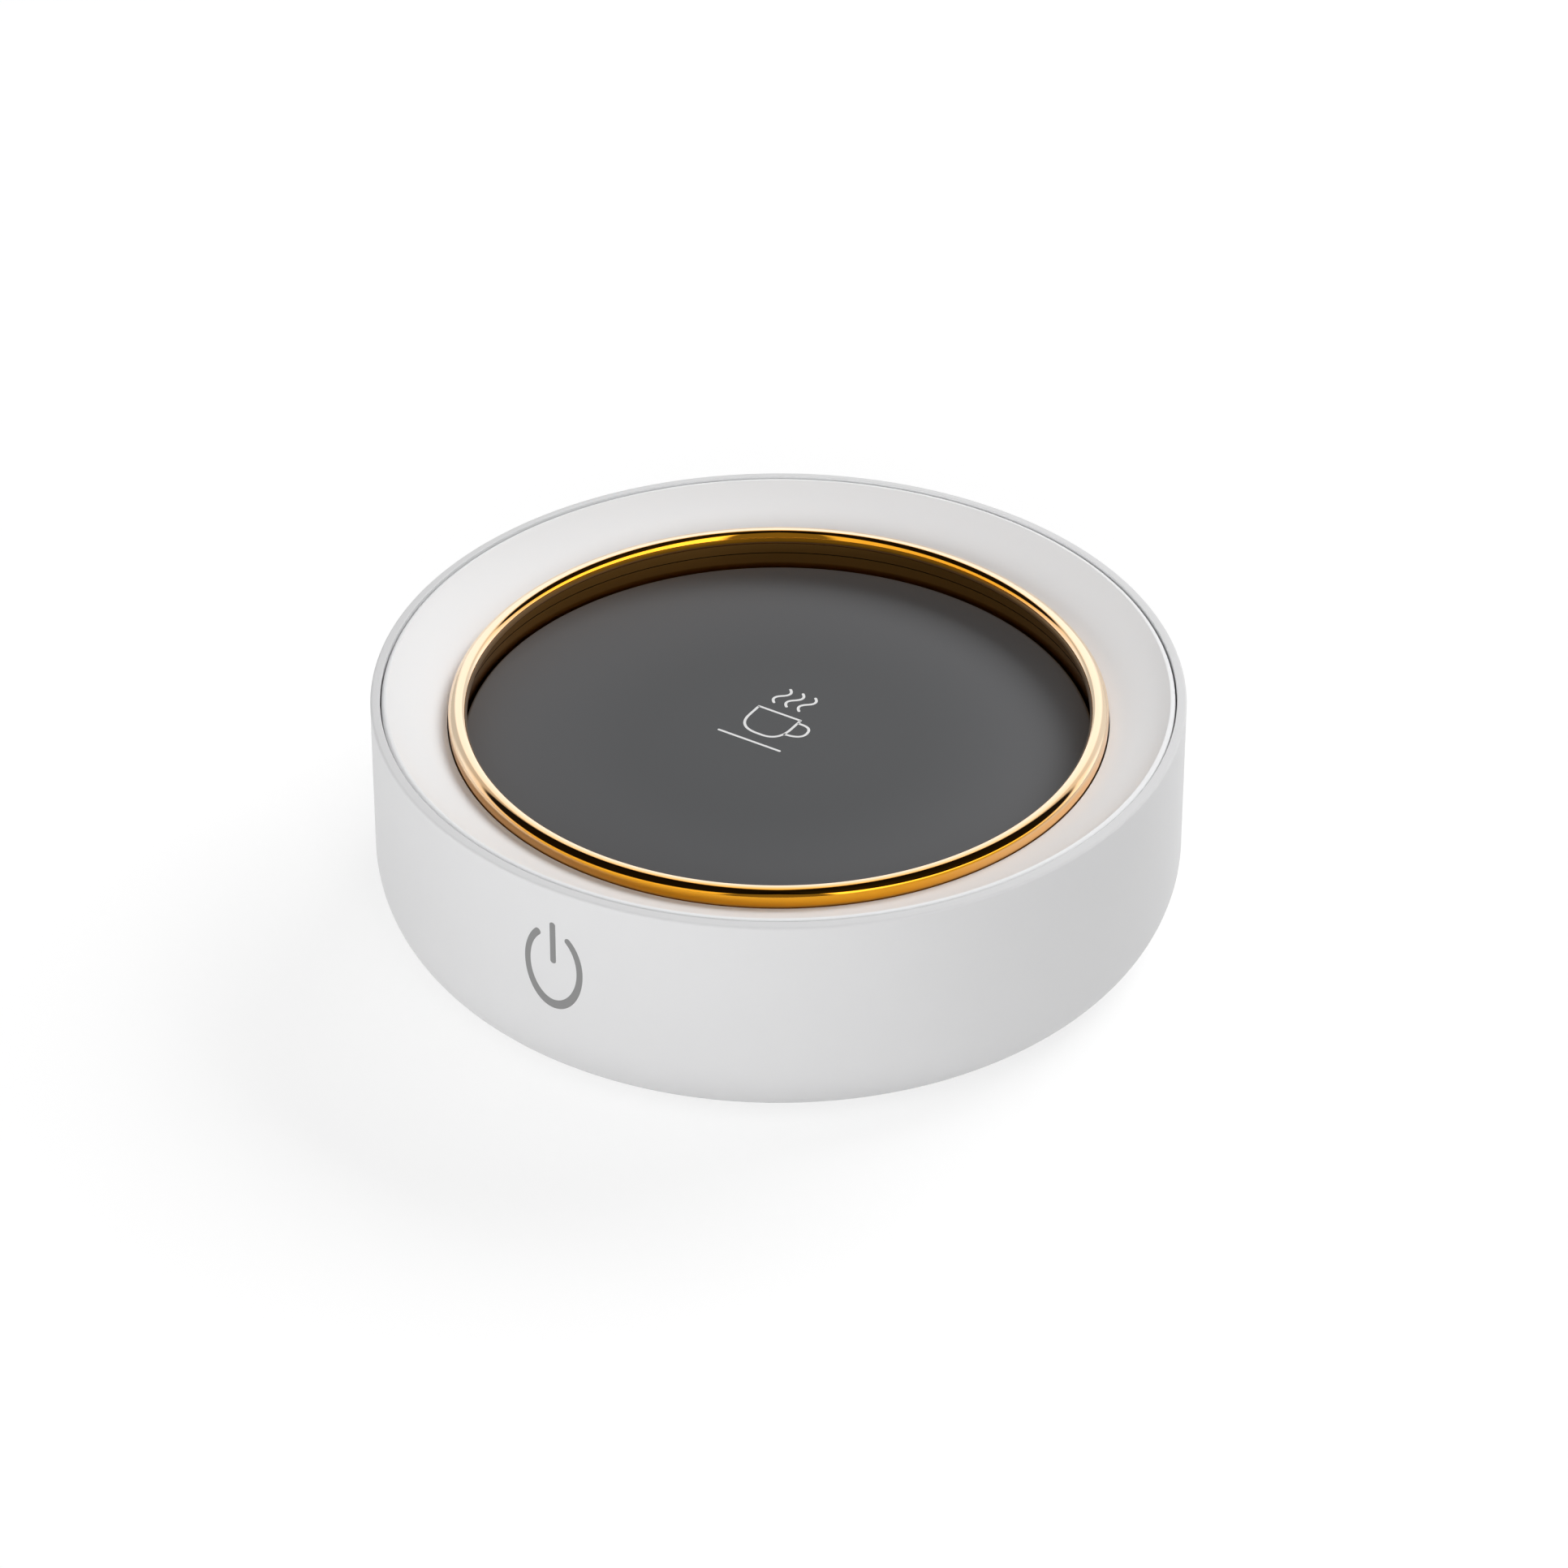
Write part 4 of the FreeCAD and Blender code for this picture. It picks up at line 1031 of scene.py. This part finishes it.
def makeFloor():
    deselectAll()
    bpy.ops.mesh.primitive_plane_add(size=studio["floorSize"])
    floor = bpy.context.object
    floor.name = "floor"
    material = bpy.data.materials.new("paleFloor")
    material.use_nodes = True
    tree = material.node_tree
    tree.nodes.remove(tree.nodes["Principled BSDF"])
    end = tree.nodes["Material Output"]
    rays = addNode(tree, "ShaderNodeLightPath").outputs
    seen = mathNode(tree, "MAXIMUM", rays["Is Camera Ray"], rays["Is Glossy Ray"])
    seen = mathNode(tree, "MAXIMUM", seen, rays["Is Transmission Ray"])
    matt = addNode(tree, "ShaderNodeBsdfDiffuse")
    matt.inputs["Color"].default_value = grey(studio["floorBounce"])
    pale = addNode(tree, "ShaderNodeBsdfDiffuse")
    pale.inputs["Color"].default_value = grey(studio["floorColour"])
    glow = addNode(tree, "ShaderNodeEmission")
    glow.inputs["Strength"].default_value = studio["floorGlow"]
    shown = addNode(tree, "ShaderNodeAddShader")
    tree.links.new(pale.outputs[0], shown.inputs[0])
    tree.links.new(glow.outputs[0], shown.inputs[1])
    both = addNode(tree, "ShaderNodeMixShader")
    tree.links.new(seen, both.inputs[0])
    tree.links.new(matt.outputs[0], both.inputs[1])
    tree.links.new(shown.outputs[0], both.inputs[2])
    tree.links.new(both.outputs[0], end.inputs["Surface"])
    floor.data.materials.append(material)


def makeWorld():
    world = bpy.data.worlds.new("studioAir")
    bpy.context.scene.world = world
    world.use_nodes = True
    tree = world.node_tree
    backing = tree.nodes["Background"]
    rays = addNode(tree, "ShaderNodeLightPath").outputs
    way = addNode(tree, "ShaderNodeTexCoord")
    # turned so that X points at the camera's side of the room and Y to its right
    turn = addNode(tree, "ShaderNodeVectorRotate", rotation_type="Z_AXIS")
    turn.inputs["Angle"].default_value = math.pi / 2 - math.radians(photo["azimuth"])
    tree.links.new(way.outputs["Generated"], turn.inputs["Vector"])
    room = splitNode(tree, turn.outputs["Vector"])
    bearing = mathNode(tree, "ARCTAN2", room["Y"], room["X"])
    lay = mathNode(tree, "ADD", mathNode(tree, "DIVIDE", bearing, fullTurn), 0.5)
    walls = addNode(tree, "ShaderNodeValToRGB")
    tree.links.new(lay, walls.inputs["Fac"])
    brightest = max(glow for degrees, glow in screens)
    stops = walls.color_ramp.elements
    for index, (degrees, glow) in enumerate(screens):
        spot = 0.5 + degrees / 360
        if index == 0:
            stop = stops[0]
        elif index == len(screens) - 1:
            stop = stops[-1]
        else:
            stop = stops.new(spot)
        stop.position = spot
        stop.color = grey(glow / brightest)
    # the ceiling reaches further down at the sides of the room
    aside = mathNode(tree, "ABSOLUTE", room["Y"], 0.0)
    fall = mathNode(tree, "MULTIPLY", aside, studio["ceilingFalls"])
    rise = mathNode(tree, "ADD", room["Z"], fall)
    ceiling = rangeNode(tree, rise, studio["wallsEnd"], studio["ceilingStarts"], brightest,
                        studio["ceiling"])
    shown = mathNode(tree, "MULTIPLY", walls.outputs["Color"], ceiling)
    shiny = mathNode(tree, "MAXIMUM", rays["Is Glossy Ray"], rays["Is Transmission Ray"])
    mirrored = mixNode(tree, "FLOAT", shiny, studio["fill"], shown)
    seen = mixNode(tree, "FLOAT", rays["Is Camera Ray"], mirrored, 1.0)
    backing.inputs["Color"].default_value = grey(1.0)
    tree.links.new(seen, backing.inputs["Strength"])


def makeSoftbox(name, degrees, elevation, glow):
    deselectAll()
    way = direction(photo["azimuth"] + degrees, elevation)
    aim = Vector((0, 0, lampBox["aim"]))
    bpy.ops.object.light_add(type="AREA", location=aim + way * lampBox["distance"])
    lamp = bpy.context.object
    lamp.name = name
    lamp.rotation_euler = way.to_track_quat("Z", "Y").to_euler()
    lamp.data.shape = "RECTANGLE"
    lamp.data.size = lampBox["width"]
    lamp.data.size_y = lampBox["height"]
    lamp.visible_glossy = False   # shiny surfaces see the screens in the world instead
    lamp.data.energy = glow * math.pi * lampBox["width"] * lampBox["height"]


def makeCamera():
    p = photo
    rimCentre = Vector((0, 0, p["rimHeight"] * mm))
    way = direction(p["azimuth"], p["elevation"])
    side = Vector((0, 0, 1)).cross(way).normalized()
    upward = way.cross(side)
    shiftX = (p["rimAt"][0] - p["size"] / 2) / p["focal"] * p["distance"]
    shiftY = (p["size"] / 2 - p["rimAt"][1]) / p["focal"] * p["distance"]
    place = rimCentre + way * p["distance"]
    aim = rimCentre - side * shiftX - upward * shiftY
    bpy.ops.object.camera_add(location=place)
    camera = bpy.context.object
    camera.name = "photoCamera"
    camera.rotation_euler = (place - aim).to_track_quat("Z", "Y").to_euler()
    camera.data.sensor_width = p["sensor"]
    camera.data.lens = p["focal"] * p["sensor"] / p["size"]
    bpy.context.scene.camera = camera


makeFloor()
makeWorld()
for boxName, setting in softboxes.items():
    makeSoftbox(boxName, *setting)
makeCamera()
bpy.context.scene.view_settings.view_transform = "Standard"
print("studio ready")
